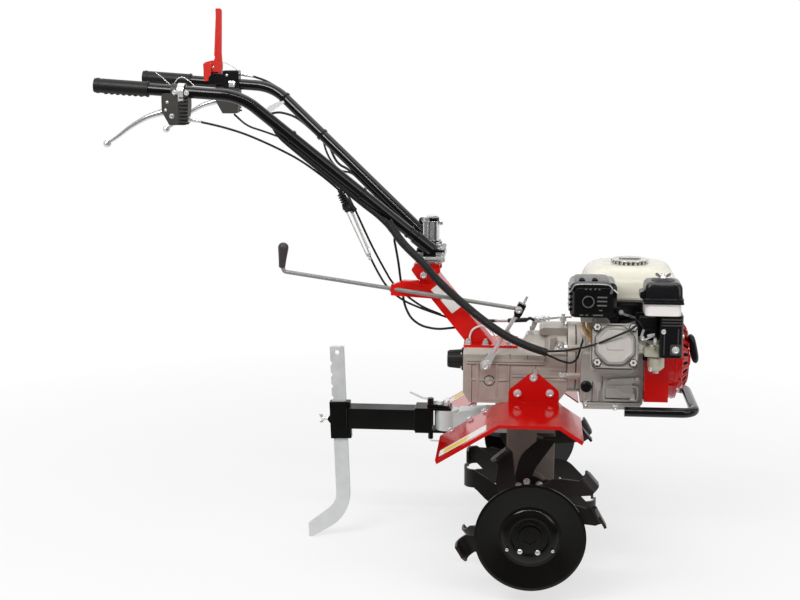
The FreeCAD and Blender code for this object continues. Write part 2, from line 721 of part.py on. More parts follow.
def recoil_cover():
    """Dished starter cover in front of the fan housing, pressed from sheet."""
    z = CRANK_Z + 8

    def dish(inset):
        profile = [
            (SHROUD_FRONT, 0), (SHROUD_FRONT, RECOIL_R - inset),
            (SHROUD_FRONT + 10, RECOIL_R - inset, 5.0),
            (RECOIL_FRONT - inset, RECOIL_R - 24 - inset, 12.0), (RECOIL_FRONT - inset, 0),
        ]
        return Part.Face(outline(profile, "xy", 0)).revolve(V(0, 0, 0), V(1, 0, 0), 360)
    cover = dish(0).cut(dish(SHROUD_SHEET))
    cover.translate(V(0, 0, z))
    return cover


def recoil_handle():
    """Pull handle of the starter, on the short rope that comes out of the cover."""
    y = -42.0
    z = CRANK_Z + 36
    stem = rod(V(RECOIL_FRONT, y, z), V(RECOIL_FRONT + 14, y, z), 4.0)
    grip = prism([(RECOIL_FRONT + 4, z + 37, 5.0), (RECOIL_FRONT + 16, z + 32, 5.0),
                  (RECOIL_FRONT + 30, z - 34, 7.0), (RECOIL_FRONT + 14, z - 34, 7.0)],
                 "xz", y - 15, y + 15)
    return joined([stem, grip])


def fuel_tank():
    """Domed tank with a rolled seam, hollow inside."""
    def layer(z, inset, radius):
        return outline([
            (TANK_X[0] + inset, TANK_Y[0] + inset, radius),
            (TANK_X[1] - inset, TANK_Y[0] + inset, radius),
            (TANK_X[1] - inset, TANK_Y[1] - inset, radius),
            (TANK_X[0] + inset, TANK_Y[1] - inset, radius),
        ], "xy", z)
    low, high = TANK_Z
    upper = Part.makeLoft([layer(TANK_SEAM, 5, 26), layer(high - 34, 8, 30),
                           layer(high - 12, 22, 34), layer(high, 62, 38)], True, False)
    lower = Part.makeLoft([layer(low, 18, 26), layer(TANK_SEAM, 5, 26)], True, True)
    seam = Part.Face(layer(TANK_SEAM - 3, 0, 28)).extrude(V(0, 0, 6))
    tank = joined([upper, lower, seam])
    hollow = Part.makeLoft([layer(low + 4, 24, 22), layer(TANK_SEAM, 5 + TANK_WALL, 24),
                            layer(high - 36, 8 + TANK_WALL, 26),
                            layer(high - 16, 26, 30)], True, True)
    return tank.cut(hollow)


def fuel_cap():
    """Knurled filler cap in the middle of the tank."""
    x = (TANK_X[0] + TANK_X[1]) / 2
    y = (TANK_Y[0] + TANK_Y[1]) / 2
    z = TANK_Z[1]
    cap = rod(V(x, y, z), V(x, y, z + TANK_CAP_H), TANK_CAP_R)
    for k in range(18):
        turn = math.radians(20 * k)
        dx = (TANK_CAP_R + 1.5) * math.cos(turn)
        dy = (TANK_CAP_R + 1.5) * math.sin(turn)
        cap = cap.cut(rod(V(x + dx, y + dy, z), V(x + dx, y + dy, z + TANK_CAP_H - 3), 4.0))
    return cap


def muffler():
    """Sheet-steel exhaust box with bevelled top edges and its outlet."""
    x0, x1 = MUFFLER_X
    z0, z1 = MUFFLER_Z
    y0, y1 = MUFFLER_Y

    def shell(inset):
        c = MUFFLER_BEVEL
        side = [(x0 + inset, z0 + inset), (x1 - inset, z0 + inset), (x1 - inset, z1 - c),
                (x1 - c, z1 - inset), (x0 + c, z1 - inset), (x0 + inset, z1 - c)]
        return prism(side, "xz", y0 + inset, y1 - inset)
    x = x0 + 42
    z = z0 + 42
    outlet = ring(V(x, y0 - 6, z), V(x, y0 + 1, z), OUTLET_R, OUTLET_R - 4)
    hole = rod(V(x, y0 - 7, z), V(x, y0 + 8, z), OUTLET_R - 4)
    return joined([shell(0).cut(shell(MUFFLER_SHEET)), outlet]).cut(hole)


def exhaust_pipes():
    """The pair of short pipes from the cylinder head up to the exhaust box."""
    pipes = []
    for x in (118.0, 132.0):
        pipes.append(bent_bar([V(x, CARB_Y - 4, MUFFLER_Z[0]),
                               V(x, CARB_Y - 4, MUFFLER_Z[0] - 30),
                               V(x + 26, CARB_Y, PORT_Z)], [14.0], 5.5))
    web = box((118.0, 132.0), (CARB_Y - 7, CARB_Y - 1), (MUFFLER_Z[0] - 6, MUFFLER_Z[0]))
    pair = joined(pipes + [web]).cut(engine_cylinder())
    return max(pair.Solids, key=lambda piece: piece.Volume)


def tank_bracket():
    """Pressed bracket on the crankcase that carries the tank."""
    x0 = TANK_X[0] + 40
    x1 = TANK_X[1] - 90
    top = TANK_Z[0]
    low = CRANKCASE_TOP
    deck = box((x0, x1), (-46, 60), (top - 4, top))
    legs = box((x0, x0 + 4), (-40, 50), (low, top - 2))
    far = box((x1 - 4, x1), (-40, 50), (low, top - 2))
    return joined([deck, legs, far])


def air_cleaner():
    """Ribbed body, pale band and dark cover of the air cleaner, as three solids."""
    x0, x1 = CLEANER_X
    y0, y1 = CLEANER_Y
    z0, z1 = CLEANER_Z
    r = 12.0
    band_z = z0 + CLEANER_BAND

    def slab(inset, low, high):
        return prism([(x0 + inset, y0 + inset, r), (x1 - inset, y0 + inset, r),
                      (x1 - inset, y1 - inset, r), (x0 + inset, y1 - inset, r)],
                     "xy", low, high)
    cover = slab(0, band_z, z1)
    for z in (band_z + 12, band_z + 30):
        cover = cover.cut(slab(0, z, z + 4).cut(slab(2.5, z, z + 4)))
    band = slab(5, z0, band_z)
    body_y = -SHROUD_SIDE - 4
    body = prism([(x0 + 42, y0 + 12, r), (x1 + 2, y0 + 12, r),
                  (x1 + 2, body_y, r), (x0 + 42, body_y, r)], "xy", CLEANER_BODY_Z, z0)
    return body, band, cover


def carburettor():
    """Carburettor between cylinder head and air cleaner, with its float bowl."""
    y = CARB_Y
    x0 = CYL_X + HEAD_SIZE / 2
    x1 = CLEANER_X[0] + 42
    z = CARB_Z
    under = CLEANER_BODY_Z - 2
    throat = rod(V(x0, y, z), V(x1, y, z), 16.0)
    deck = box((BOWL_X - BOWL_R - 9, x1), (y - BOWL_R, y + BOWL_R), (under - 1, z + 6))
    bowl = rod(V(BOWL_X, y, under - 30), V(BOWL_X, y, under), BOWL_R)
    sump = Part.makeCone(BOWL_R - 8, BOWL_R, 8, V(BOWL_X, y, under - 38))
    flange = box((x0, x0 + 6), (y - 26, y + 26), (z - 18, z + 18))
    return joined([throat, deck, bowl, sump, flange])


def front_bumper():
    """Bent tube under and ahead of the engine, on a cross plate under its foot."""
    w = BUMPER_HALF_WIDTH
    front = BUMPER_FRONT - BUMPER_R
    z = BUMPER_Z
    points = [V(BUMPER_REAR, -w, z), V(front, -w, z), V(front, w, z), V(BUMPER_REAR, w, z)]
    bar = bent_bar(points, [34.0, 34.0], BUMPER_R)
    top = CRANKCASE_BOTTOM
    plate = box((BUMPER_REAR + 2, BUMPER_REAR + 42), (-w, w), (top - 5, top))
    return joined([bar, plate])


# ---------------------------------------------------------------- handle column
def column_direction():
    """Unit vector up the column, in the XZ plane."""
    foot = V(COLUMN_FOOT_X, 0, CASE_TOP)
    return (V(TILT_X, 0, TILT_Z) - foot).normalize()


def shift_rod_height(x):
    """Height of the sloping run of the gear rod."""
    start = (KNOB_TOP[0], KNOB_TOP[1] - KNOB_LENGTH - 8)
    slope = (SHIFT_ROD_END[1] - start[1]) / (SHIFT_ROD_END[0] - start[0])
    return start[1] + slope * (x - start[0])


def handle_column():
    """Folded sheet column, open behind, on its bolted foot plate."""
    along = column_direction()
    across = V(along.z, 0, -along.x)
    foot = V(COLUMN_FOOT_X, 0, CASE_TOP)
    pivot = V(TILT_X, 0, TILT_Z)
    neck = pivot - along * 30
    half = COLUMN_DEPTH / 2
    base_z = CASE_TOP + BASE_PLATE
    w = COLUMN_HALF_WIDTH
    s = COLUMN_SHEET

    def place(centre, side, level=None):
        point = centre + across * side
        if level is not None:
            point = point + along * ((level - point.z) / along.z)
        return (point.x, point.z)

    rear_foot = place(foot, -half, base_z)
    front_foot = place(foot, half, base_z)
    cheek = [rear_foot, front_foot, place(neck, half), place(pivot, COLUMN_END_R),
             place(pivot, -COLUMN_END_R), place(neck, -half)]
    top = rod(V(TILT_X, -w, TILT_Z), V(TILT_X, w, TILT_Z), COLUMN_END_R)
    shell = prism(cheek, "xz", -w, w).fuse(top)
    room = [place(foot, -half - 40, base_z - 30), place(foot, half - s, base_z - 30),
            place(neck, half - s), place(pivot, half - s), place(pivot + along * 60, half - s),
            place(pivot + along * 60, -half - 40)]
    shell = shell.cut(prism(room, "xz", -w + s, w - s))
    plate = box((rear_foot[0] - 8, front_foot[0] + 62), (-CASE_HALF_WIDTH + 14, CASE_HALF_WIDTH - 14),
                (CASE_TOP, base_z))
    plate = plate.common(box((CASE_REAR, -24), (-80, 80), (CASE_TOP, base_z)))
    pin_hole = rod(V(TILT_X, -60, TILT_Z), V(TILT_X, 60, TILT_Z), TILT_BOLT_R + RUN_FIT)
    rod_z = shift_rod_height(GUIDE_X)
    plan = prism([(GUIDE_X - 9, SHIFT_ROD_Y - 9), (GUIDE_X - 9, SHIFT_ROD_Y + 9),
                  (TILT_X + 8, -w + 1), (TILT_X + 44, -w + 1), (TILT_X + 44, -w - 3)],
                 "xy", rod_z - 60, rod_z + 60)
    side = prism([(GUIDE_X - 10, rod_z - 14), (TILT_X + 48, rod_z - 34),
                  (TILT_X + 48, rod_z + 6), (TILT_X - 6, rod_z + 8), (TILT_X - 12, rod_z + 16),
                  (GUIDE_X + 20, rod_z + 20, 8.0),
                  (GUIDE_X - 10, rod_z + 10)], "xz", -120, 0)
    guide = plan.common(side)
    gap = rod(V(GUIDE_X - 60, SHIFT_ROD_Y, shift_rod_height(GUIDE_X - 60)),
              V(GUIDE_X + 60, SHIFT_ROD_Y, shift_rod_height(GUIDE_X + 60)), SHIFT_ROD_R + SLIP)
    return joined([shell, plate, guide]).cut(pin_hole).cut(gap)


def tilt_head():
    """Folded bracket astride the column's top, with the lower toothed disc and pin."""
    w = HEAD_HALF_WIDTH
    outer = [(TILT_X - 32, TILT_Z + 10, 6.0), (TILT_X - 14, TILT_Z - 15, 8.0),
             (TILT_X + 22, TILT_Z - 13, 8.0), (TILT_X + 41, TILT_Z + 6, 6.0),
             (HEAD_FRONT, SWIVEL_Z), (HEAD_REAR, SWIVEL_Z)]
    block = prism(outer, "xz", -w, w)
    under = SWIVEL_Z - 6
    gap = w - HEAD_SHEET
    block = block.cut(box((TILT_X - 80, TILT_X + 80), (-gap, gap), (TILT_Z - 60, under)))
    disc = rod(V(SWIVEL_X, 0, SWIVEL_Z), V(SWIVEL_X, 0, SWIVEL_Z + SWIVEL_DISC), SWIVEL_R)
    bolt = rod(V(TILT_X, -w - 1, TILT_Z), V(TILT_X, w + 1, TILT_Z), TILT_BOLT_R)
    pin = rod(V(SWIVEL_X, 0, under), V(SWIVEL_X, 0, SWIVEL_Z + SWIVEL_PIN), SWIVEL_PIN_R)
    heads = [rod(V(TILT_X, side * w, TILT_Z), V(TILT_X, side * (w + 6), TILT_Z), 9.0)
             for side in (-1, 1)]
    return joined([block, disc, bolt, pin] + heads)


# ---------------------------------------------------------------- handlebars
def handle_clamp():
    """Upper disc, plate and tower that hold the two bars."""
    low = SWIVEL_Z + SWIVEL_DISC + SLIP
    deck = low + SWIVEL_DISC
    top = deck + CLAMP_PLATE
    disc = rod(V(SWIVEL_X, 0, low), V(SWIVEL_X, 0, deck), SWIVEL_R)
    reach = BAR_FOOT[1] + BAR_R + 4
    plate = box((SWIVEL_X - 38, SWIVEL_X + 33), (-reach, reach), (deck, top))
    tower = rod(V(SWIVEL_X, 0, top), V(SWIVEL_X, 0, TOWER_TOP), TOWER_R)
    foot = V(BAR_FOOT[0], BAR_FOOT[1], BAR_FOOT[2])
    bend = V(BAR_BEND[0], BAR_HALF_WIDTH, BAR_BEND[1])
    along = (bend - foot).normalize()
    socket = rod(foot - along * 3, foot + along * SOCKET_LENGTH, BAR_R + 3)
    bars = rod(foot, foot + along * (SOCKET_LENGTH + 10), BAR_R)
    gusset = box((foot.x - 16, foot.x + 14), (foot.y - 12, foot.y + 12), (top - 1, foot.z))
    clamp = joined([disc, plate, tower, socket, mirrored(socket), gusset, mirrored(gusset)])
    clamp = clamp.cut(bars).cut(mirrored(bars))
    bore = rod(V(SWIVEL_X, 0, low - 1), V(SWIVEL_X, 0, SWIVEL_Z + SWIVEL_PIN + SLIP),
               SWIVEL_PIN_R + RUN_FIT)
    return clamp.cut(bore)


def handlebar():
    """Left bar: up and out from the clamp, then level back to the grip."""
    foot = V(BAR_FOOT[0], BAR_FOOT[1], BAR_FOOT[2])
    bend = V(BAR_BEND[0], BAR_HALF_WIDTH, BAR_BEND[1])
    end = V(BAR_END[0], BAR_HALF_WIDTH, BAR_END[1])
    points = [foot, bend, end]
    outer = bent_bar(points, [BAR_BEND_R], BAR_R)
    inner = bent_bar(points, [BAR_BEND_R], BAR_R - BAR_WALL)
    return outer.cut(inner)


def grip():
    """Moulded sleeve with a closed end over the last of the bar."""
    bend = V(BAR_BEND[0], BAR_HALF_WIDTH, BAR_BEND[1])
    end = V(BAR_END[0], BAR_HALF_WIDTH, BAR_END[1])
    back = (end - bend).normalize()
    start = end - back * GRIP_LENGTH
    sleeve = ring(start, end, GRIP_R, BAR_R)
    cap = rod(end, end + back * 4, GRIP_R)
    return joined([sleeve, cap])


# ---------------------------------------------------------------- hand controls
def bar_height(x):
    """Height of the middle of the level part of a bar."""
    slope = (BAR_END[1] - BAR_BEND[1]) / (BAR_END[0] - BAR_BEND[0])
    return BAR_BEND[1] + slope * (x - BAR_BEND[0])


def lever_housing(ahead):
    """Clamp ring and housing under the left bar, shifted forward along it."""
    x0 = HOUSING_X[0] + ahead
    x1 = HOUSING_X[1] + ahead
    y = BAR_HALF_WIDTH
    z = bar_height((x0 + x1) / 2)
    w = HOUSING_HALF_WIDTH
    body = prism([(x0, z - 8, 5.0), (x0, z - HOUSING_DROP, 6.0), (x1 - 5, z - HOUSING_DROP, 6.0),
                  (x1, z - 34, 8.0), (x1, z - 8, 5.0)], "xz", y - w, y + w)
    start = V(x0 + 22, y, bar_height(x0 + 22))
    end = V(x1 - 18, y, bar_height(x1 - 18))
    body = joined([body, rod(start, end, BAND_R)])
    back = V(x0 - 20, y, bar_height(x0 - 20))
    front = V(x1 + 20, y, bar_height(x1 + 20))
    return body.cut(rod(back, front, BAR_R))


def clutch_lever(ahead):
    """Cast hand lever that sweeps back and down under the left grip to a ball."""
    x0 = HOUSING_X[0] + ahead
    y = BAR_HALF_WIDTH
    z = bar_height(x0)
    tip = V(LEVER_TIP[0] + ahead, y, LEVER_TIP[1])
    blade = prism([
        (x0, z - 42), (x0 - 38, z - 56, 60.0), (tip.x + 24, tip.z + 22, 60.0),
        (tip.x - 3, tip.z + 3), (tip.x + 3, tip.z - 3), (tip.x + 30, tip.z + 12, 60.0),
        (x0 - 30, z - 66, 40.0), (x0, z - 60),
    ], "xz", y - LEVER_HALF_WIDTH, y + LEVER_HALF_WIDTH)
    ball = Part.makeSphere(8.0, tip)
    return joined([blade, ball])


def red_lever():
    """Tall flat lever on its mount above the left bar."""
    y = BAR_HALF_WIDTH
    x = RED_LEVER_X
    z = bar_height(x) + BAR_R
    mount = box((x - 12, x + 28), (y - 12, y + 12), (z, z + 14))
    blade = prism([
        (x - 8, z + 8, 4.0), (x + 32, z + 10, 6.0), (x + 37, z + 24, 8.0),
        (x + 35, z + 60, 60.0), (x + 38, RED_LEVER_TOP - 5, 5.0), (x + 34, RED_LEVER_TOP, 3.0),
        (x + 22, RED_LEVER_TOP, 3.0), (x + 24, z + 80, 60.0), (x + 15, z + 40, 14.0),
        (x - 12, z + 25, 6.0),
    ], "xz", y - 5, y + 5)
    bar = rod(V(x - 30, y, bar_height(x - 30)), V(x + 80, y, bar_height(x + 80)), BAR_R)
    return mount.cut(blade).cut(bar), blade


def shift_rod():
    """Gear rod from its upright hand end through the guide to the arm's joint."""
    top = V(KNOB_TOP[0], SHIFT_ROD_Y, KNOB_TOP[1] - 6)
    corner = V(KNOB_TOP[0], SHIFT_ROD_Y, KNOB_TOP[1] - KNOB_LENGTH - 8)
    end = V(SHIFT_ROD_END[0], SHIFT_ROD_Y, SHIFT_ROD_END[1])
    return bent_bar([top, corner, end], [9.0], SHIFT_ROD_R)


def shift_knob():
    """Moulded knob on the upright end of the gear rod."""
    top = V(KNOB_TOP[0], SHIFT_ROD_Y, KNOB_TOP[1])
    knob = Part.makeCone(KNOB_R - 3, KNOB_R, KNOB_LENGTH, top - V(0, 0, KNOB_LENGTH))
    knob = knob.makeFillet(2.5, knob.Edges)
    return knob.cut(shift_rod())


def shift_arm():
    """Arm from the selector shaft: a flat strap, then a round rod up to its block."""
    y = SHIFT_ROD_Y
    pivot = V(SHIFT_PIVOT[0], y, SHIFT_PIVOT[1])
    end = V(SHIFT_ROD_END[0], y, SHIFT_ROD_END[1])
    along = (end - pivot).normalize()
    across = V(along.z, 0, -along.x)

    def corner(side, further):
        point = pivot + across * side + along * further
        return (point.x, point.z)
    boss = rod(V(pivot.x, y - 4, pivot.z), V(pivot.x, y + 4, pivot.z), SHIFT_BOSS_R)
    strap = prism([corner(-12, 0), corner(12, 0), corner(6, SHIFT_STRAP),
                   corner(-6, SHIFT_STRAP)], "xz", y - 3, y + 3)
    stem = rod(pivot + along * (SHIFT_STRAP - 12), end, SHIFT_ROD_R)
    shaft = rod(V(pivot.x, -CASE_HALF_WIDTH - CASE_FLANGE, pivot.z), V(pivot.x, y, pivot.z), 8.0)
    block = box((end.x - 9, end.x + 9), (y - 10, y + 10), (end.z - 14, end.z + 14))
    block = turned(block, 25, end)
    arm = joined([boss, strap, stem, shaft, block]).cut(shift_rod())
    return max(arm.Solids, key=lambda piece: piece.Volume)


# ---------------------------------------------------------------- hitch and stake
def hitch_bracket():
    """Cast bracket on the leg, with the round nose that the arm's clevis swings on."""
    x = HITCH_PIN_X
    z = HITCH_Z
    h = HITCH_NOSE / 2
    low = h - AIR
    ahead = x + HITCH_NOSE_R
    nose = rod(V(x, 0, z - h), V(x, 0, z + h), HITCH_NOSE_R)
    neck = prism([(x, z - low), (ahead - 2, z - low), (ahead + AIR, z - h),
                  (-LEG_HALF_LENGTH, z - h - 2), (-LEG_HALF_LENGTH, z + h + 8),
                  (ahead + AIR, z + h), (ahead - 2, z + low), (x, z + low)],
                 "xz", -HITCH_NOSE_R + 6, HITCH_NOSE_R - 6)
    hole = rod(V(x, 0, z - 60), V(x, 0, z + 60), HITCH_PIN_R + RUN_FIT)
    return joined([nose, neck]).cut(hole)


def lean(shape):
    """Leans the stake or its socket back about the middle of the hitch arm."""
    return turned(shape, -STAKE_LEAN, V(STAKE_X, 0, HITCH_Z))


def hitch_arm():
    """Square arm from the clevis on its pin back to the stake's socket."""
    t = HITCH_TUBE / 2
    inner = HITCH_NOSE / 2 + SLIP
    proud = inner + CLEVIS_PLATE
    x = HITCH_PIN_X
    back, front = CLEVIS_BACK
    socket_front = STAKE_X + STAKE_WIDTH / 2 + SLIP + SOCKET_WALL
    tube = box((socket_front, x + front), (-t, t), (HITCH_Z - t, HITCH_Z + t))
    sleeve = box((x + back, x + front), (-proud + 3, proud - 3),
                 (HITCH_Z - proud, HITCH_Z + proud))
    plates = []
    for low, high in ((-proud, -inner), (inner, proud)):
        plates.append(box((x + front - 6, x + CLEVIS_REACH), (-HITCH_NOSE_R + 4, HITCH_NOSE_R - 4),
                          (HITCH_Z + low, HITCH_Z + high)))
    half_x = STAKE_WIDTH / 2 + SLIP
    half_y = STAKE_THICK / 2 + SLIP
    socket = box((STAKE_X - half_x - SOCKET_WALL, socket_front + 4),
                 (-half_y - SOCKET_WALL, half_y + SOCKET_WALL), SOCKET_Z)
    slot = box((STAKE_X - half_x, STAKE_X + half_x), (-half_y, half_y),
               (SOCKET_Z[0] - 30, SOCKET_Z[1] + 30))
    hole = rod(V(x, 0, HITCH_Z - 60), V(x, 0, HITCH_Z + 60), HITCH_PIN_R + RUN_FIT)
    return joined([tube, sleeve, lean(socket)] + plates).cut(lean(slot)).cut(hole)


def hitch_pin():
    """Headed pin with a cross handle."""
    plate = HITCH_NOSE / 2 + SLIP + CLEVIS_PLATE
    low = HITCH_Z - plate - AIR - 6
    high = HITCH_Z + plate + AIR + 10
    pin = rod(V(HITCH_PIN_X, 0, low), V(HITCH_PIN_X, 0, high), HITCH_PIN_R)
    bar = rod(V(HITCH_PIN_X, -24, high - 5), V(HITCH_PIN_X, 24, high - 5), 5.0)
    return joined([pin, bar])


def drag_stake(ground):
    """Flat notched bar whose foot curves back to the ground."""
    half = STAKE_WIDTH / 2
    x = STAKE_X
    foot_x = x - STAKE_HOOK
    points = [
        (x - half, STAKE_TOP), (x + half, STAKE_TOP),
        (x + half, STAKE_TURN_Z, 108.0),
        (foot_x, STAKE_TURN_Z - 62), (foot_x, STAKE_TURN_Z - 22),
        (x - half, STAKE_TURN_Z + 34, 57.0),
    ]
    bar = prism(points, "xz", -STAKE_THICK / 2, STAKE_THICK / 2)
    hole = rod(V(x, -20, STAKE_TOP - 16), V(x, 20, STAKE_TOP - 16), 6.0)
    bar = bar.cut(hole)
    for k in range(5):
        z = STAKE_TOP - 44 - 30 * k
        notch = rod(V(x - half - 2, -20, z), V(x - half - 2, 20, z), 6.0)
        bar = bar.cut(notch)
    below = box((foot_x - 50, x + 50), (-20, 20), (ground - 60, ground))
    return lean(bar).cut(below)


# ---------------------------------------------------------------- cables
def cable(name, route, radius):
    """A cable along straight runs and the widest arcs that fit between them."""
    points = [V(*point) for point in route]
    radii = []
    for i in range(1, len(points) - 1):
        back = points[i] - points[i - 1]
        ahead = points[i + 1] - points[i]
        turn = back.getAngle(ahead)
        radii.append(0.45 * min(back.Length, ahead.Length) / math.tan(turn / 2))
    if radii:
        print(name, "arc radii", [round(radius_of_arc) for radius_of_arc in radii])
    wire = path_wire(points, radii)
    shape = bent_bar(points, radii, radius)
    expected = wire.Length * math.pi * radius ** 2
    if abs(shape.Volume / expected - 1) > 0.01:
        print(name, "volume is off by", shape.Volume / expected)
    return shape


def tensioner():
    """The rubber boot on a lever cable and the plated tube that comes out of it."""
    start, end = V(*TENSIONER_ROUTE[0]), V(*TENSIONER_ROUTE[2])
    elbow = V(*TENSIONER_ROUTE[1])
    tip = (elbow - start).normalize()
    tube_way = (end - elbow).normalize()
    boot = Part.makeCone(CABLE_R + 2, BOOT_R, (elbow - start).Length, start, tip)
    tube = rod(elbow + tube_way * 1.9, end, TENSIONER_R)
    return boot, tube


# ---------------------------------------------------------------- put together
def build():
    reel = tine_reel()
    NODES["tine_reel_left"] = reel
    NODES["tine_reel_right"] = mirrored(reel)
    NODES["axle_shaft"] = tine_shaft()
    disc = side_disc()
    NODES["side_disc_left"] = disc
    NODES["side_disc_right"] = mirrored(disc)
    ground = min(corner.Z for corner in reel.Vertexes)

    NODES["gearbox_lower_case"] = gearbox_lower_case()
    NODES["gearbox_upper_case"] = gearbox_upper_case()
    NODES["bell_housing"] = bell_housing()
    NODES["axle_leg"] = axle_leg()
    NODES["rear_shaft_cap"] = pto_cap()
    left_fender = fender()
    NODES["fender_left"] = left_fender
    NODES["fender_right"] = mirrored(left_fender)

    NODES["engine_crankcase"] = crankcase()
    NODES["engine_cylinder"] = engine_cylinder()
    NODES["valve_cover"] = valve_cover()
    NODES["fan_shroud"] = fan_shroud()
    NODES["recoil_cover"] = recoil_cover()
    NODES["recoil_handle"] = recoil_handle()
    NODES["fuel_tank"] = fuel_tank()
    NODES["fuel_cap"] = fuel_cap()
    NODES["tank_bracket"] = tank_bracket()
    NODES["muffler"] = muffler()
    NODES["exhaust_pipes"] = exhaust_pipes()
    body, band, cover = air_cleaner()
    NODES["air_cleaner_body"] = body
    NODES["air_cleaner_band"] = band
    NODES["air_cleaner_cover"] = cover
    NODES["carburettor"] = carburettor()
    NODES["front_bumper"] = front_bumper()

    NODES["handle_column"] = handle_column()
    NODES["tilt_head"] = tilt_head()
    NODES["handle_clamp"] = handle_clamp()
    bar = handlebar()
    NODES["handlebar_left"] = bar
    NODES["handlebar_right"] = mirrored(bar)
    left_grip = grip()
    NODES["grip_left"] = left_grip
    NODES["grip_right"] = mirrored(left_grip)

    NODES["lever_housing_left"] = lever_housing(HOUSING_LEFT)
    NODES["lever_housing_right"] = mirrored(lever_housing(0))
    NODES["hand_lever_left"] = clutch_lever(HOUSING_LEFT)
    NODES["hand_lever_right"] = mirrored(clutch_lever(0))
    mount, blade = red_lever()
    NODES["red_lever_mount"] = mount
    NODES["red_lever"] = blade
    NODES["shift_rod"] = shift_rod()
    NODES["shift_knob"] = shift_knob()
    NODES["shift_arm"] = shift_arm()

    NODES["hitch_bracket"] = hitch_bracket()
    NODES["hitch_arm"] = hitch_arm()
    NODES["hitch_pin"] = hitch_pin()
    NODES["drag_stake"] = drag_stake(ground)

    NODES["cable_sleeve"] = cable("cable_sleeve", SLEEVE_ROUTE, SLEEVE_R)
    NODES["cable_carburettor"] = cable("cable_carburettor", CARBURETTOR_ROUTE, CABLE_R)
    NODES["cable_case"] = cable("cable_case", CASE_ROUTE, CABLE_R)
    NODES["cable_loop"] = cable("cable_loop", LOOP_ROUTE, LOOP_R)
    NODES["cable_right_lever"] = cable("cable_right_lever", RIGHT_LEVER_ROUTE, CABLE_R)
    NODES["cable_column"] = cable("cable_column", COLUMN_ROUTE, CABLE_R)
    NODES["cable_left_lever"] = cable("cable_left_lever", LEFT_LEVER_ROUTE, CABLE_R)
    boot, tube = tensioner()
    NODES["cable_boot"] = boot
    NODES["cable_tensioner"] = tube
    return ground


def write():
    ground = build()
    whole = FreeCAD.BoundBox()
    for shape in NODES.values():
        whole.add(shape.optimalBoundingBox())
    shift = V(-(whole.XMin + whole.XMax) / 2, -(whole.YMin + whole.YMax) / 2, -ground)
    os.makedirs("parts", exist_ok=True)
    for name, shape in NODES.items():
        shape.translate(shift)
        if not shape.isValid():
            print("not valid:", name)
        if len(shape.Solids) != 1:
            print("solids:", name, len(shape.Solids))
        shape.exportStep("parts/" + name + ".step")
    print("tine shaft at X", round(shift.x, 3), "Z", round(shift.z, 3))
    print("size", round(whole.XLength, 1), round(whole.YLength, 1), round(whole.ZLength, 1))


write()
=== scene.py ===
"""Looks of the garden tiller: finished castings, fasteners, controls, cable ends and surfaces.

Metres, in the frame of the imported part: +X the way it drives, +Y its left side, +Z up.
Places are given about the middle of the tine shaft, in millimetres, as the part's
source gives them, and into_frame() turns them into the frame.
"""
import json
import math

import bmesh
import bpy
import numpy as np
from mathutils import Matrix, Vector


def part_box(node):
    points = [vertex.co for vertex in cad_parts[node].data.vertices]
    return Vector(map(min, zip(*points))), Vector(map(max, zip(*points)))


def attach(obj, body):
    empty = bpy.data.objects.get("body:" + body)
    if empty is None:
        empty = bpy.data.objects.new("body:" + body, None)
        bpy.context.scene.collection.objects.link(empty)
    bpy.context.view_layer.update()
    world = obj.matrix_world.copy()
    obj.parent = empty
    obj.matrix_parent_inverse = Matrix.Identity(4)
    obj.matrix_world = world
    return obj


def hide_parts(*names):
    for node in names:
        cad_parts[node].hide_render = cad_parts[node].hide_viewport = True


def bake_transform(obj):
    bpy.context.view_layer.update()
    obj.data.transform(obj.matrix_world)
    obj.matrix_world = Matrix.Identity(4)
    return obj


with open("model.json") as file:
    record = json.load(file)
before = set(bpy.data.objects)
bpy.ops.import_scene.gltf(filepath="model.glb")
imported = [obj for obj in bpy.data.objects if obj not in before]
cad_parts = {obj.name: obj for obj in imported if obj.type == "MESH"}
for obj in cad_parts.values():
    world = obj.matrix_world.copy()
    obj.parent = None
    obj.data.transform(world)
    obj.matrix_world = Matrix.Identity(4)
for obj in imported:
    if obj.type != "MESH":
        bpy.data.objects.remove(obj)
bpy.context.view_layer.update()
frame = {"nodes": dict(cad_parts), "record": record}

NODES = frame["nodes"]
BODY_OF = {node: body for body, members in frame["record"]["behaviour"]["bodies"].items()
           for node in members}
SLOT_OF = {part["node"]: part["material_slot"] for part in frame["record"]["subparts"]}

AXLE_LOW, AXLE_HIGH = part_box("axle_shaft")
AXLE = np.array((AXLE_LOW + AXLE_HIGH) / 2) * (1, 0, 1)
AHEAD, LEFT, UP = (1, 0, 0), (0, 1, 0), (0, 0, 1)
BACK, RIGHT, DOWN = (-1, 0, 0), (0, -1, 0), (0, 0, -1)
SIDES = ((-1, "right"), (1, "left"))
SHARP = 35.0          # degrees between two faces from which their edge shows


def into_frame(points):
    """frame = millimetres / 1000 + middle of the tine shaft."""
    return np.asarray(points, float) / 1000 + AXLE


def span(node):
    """Lowest and highest corners of a CAD node, in millimetres about the tine shaft."""
    low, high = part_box(node)
    return (np.array(low) - AXLE) * 1000, (np.array(high) - AXLE) * 1000


# ---------------------------------------------------------------- surfaces
def fill(tree, node, inputs):
    """Gives each input a value, or a link where the value is another node's socket."""
    for place, value in inputs.items():
        if isinstance(value, bpy.types.NodeSocket):
            tree.links.new(value, node.inputs[place])
        else:
            node.inputs[place].default_value = value


def add_node(tree, kind, inputs=None, **settings):
    """Adds a shader node, with its settings made before its inputs are filled."""
    node = tree.nodes.new("ShaderNode" + kind)
    for setting, value in settings.items():
        setattr(node, setting, value)
    fill(tree, node, inputs or {})
    return node


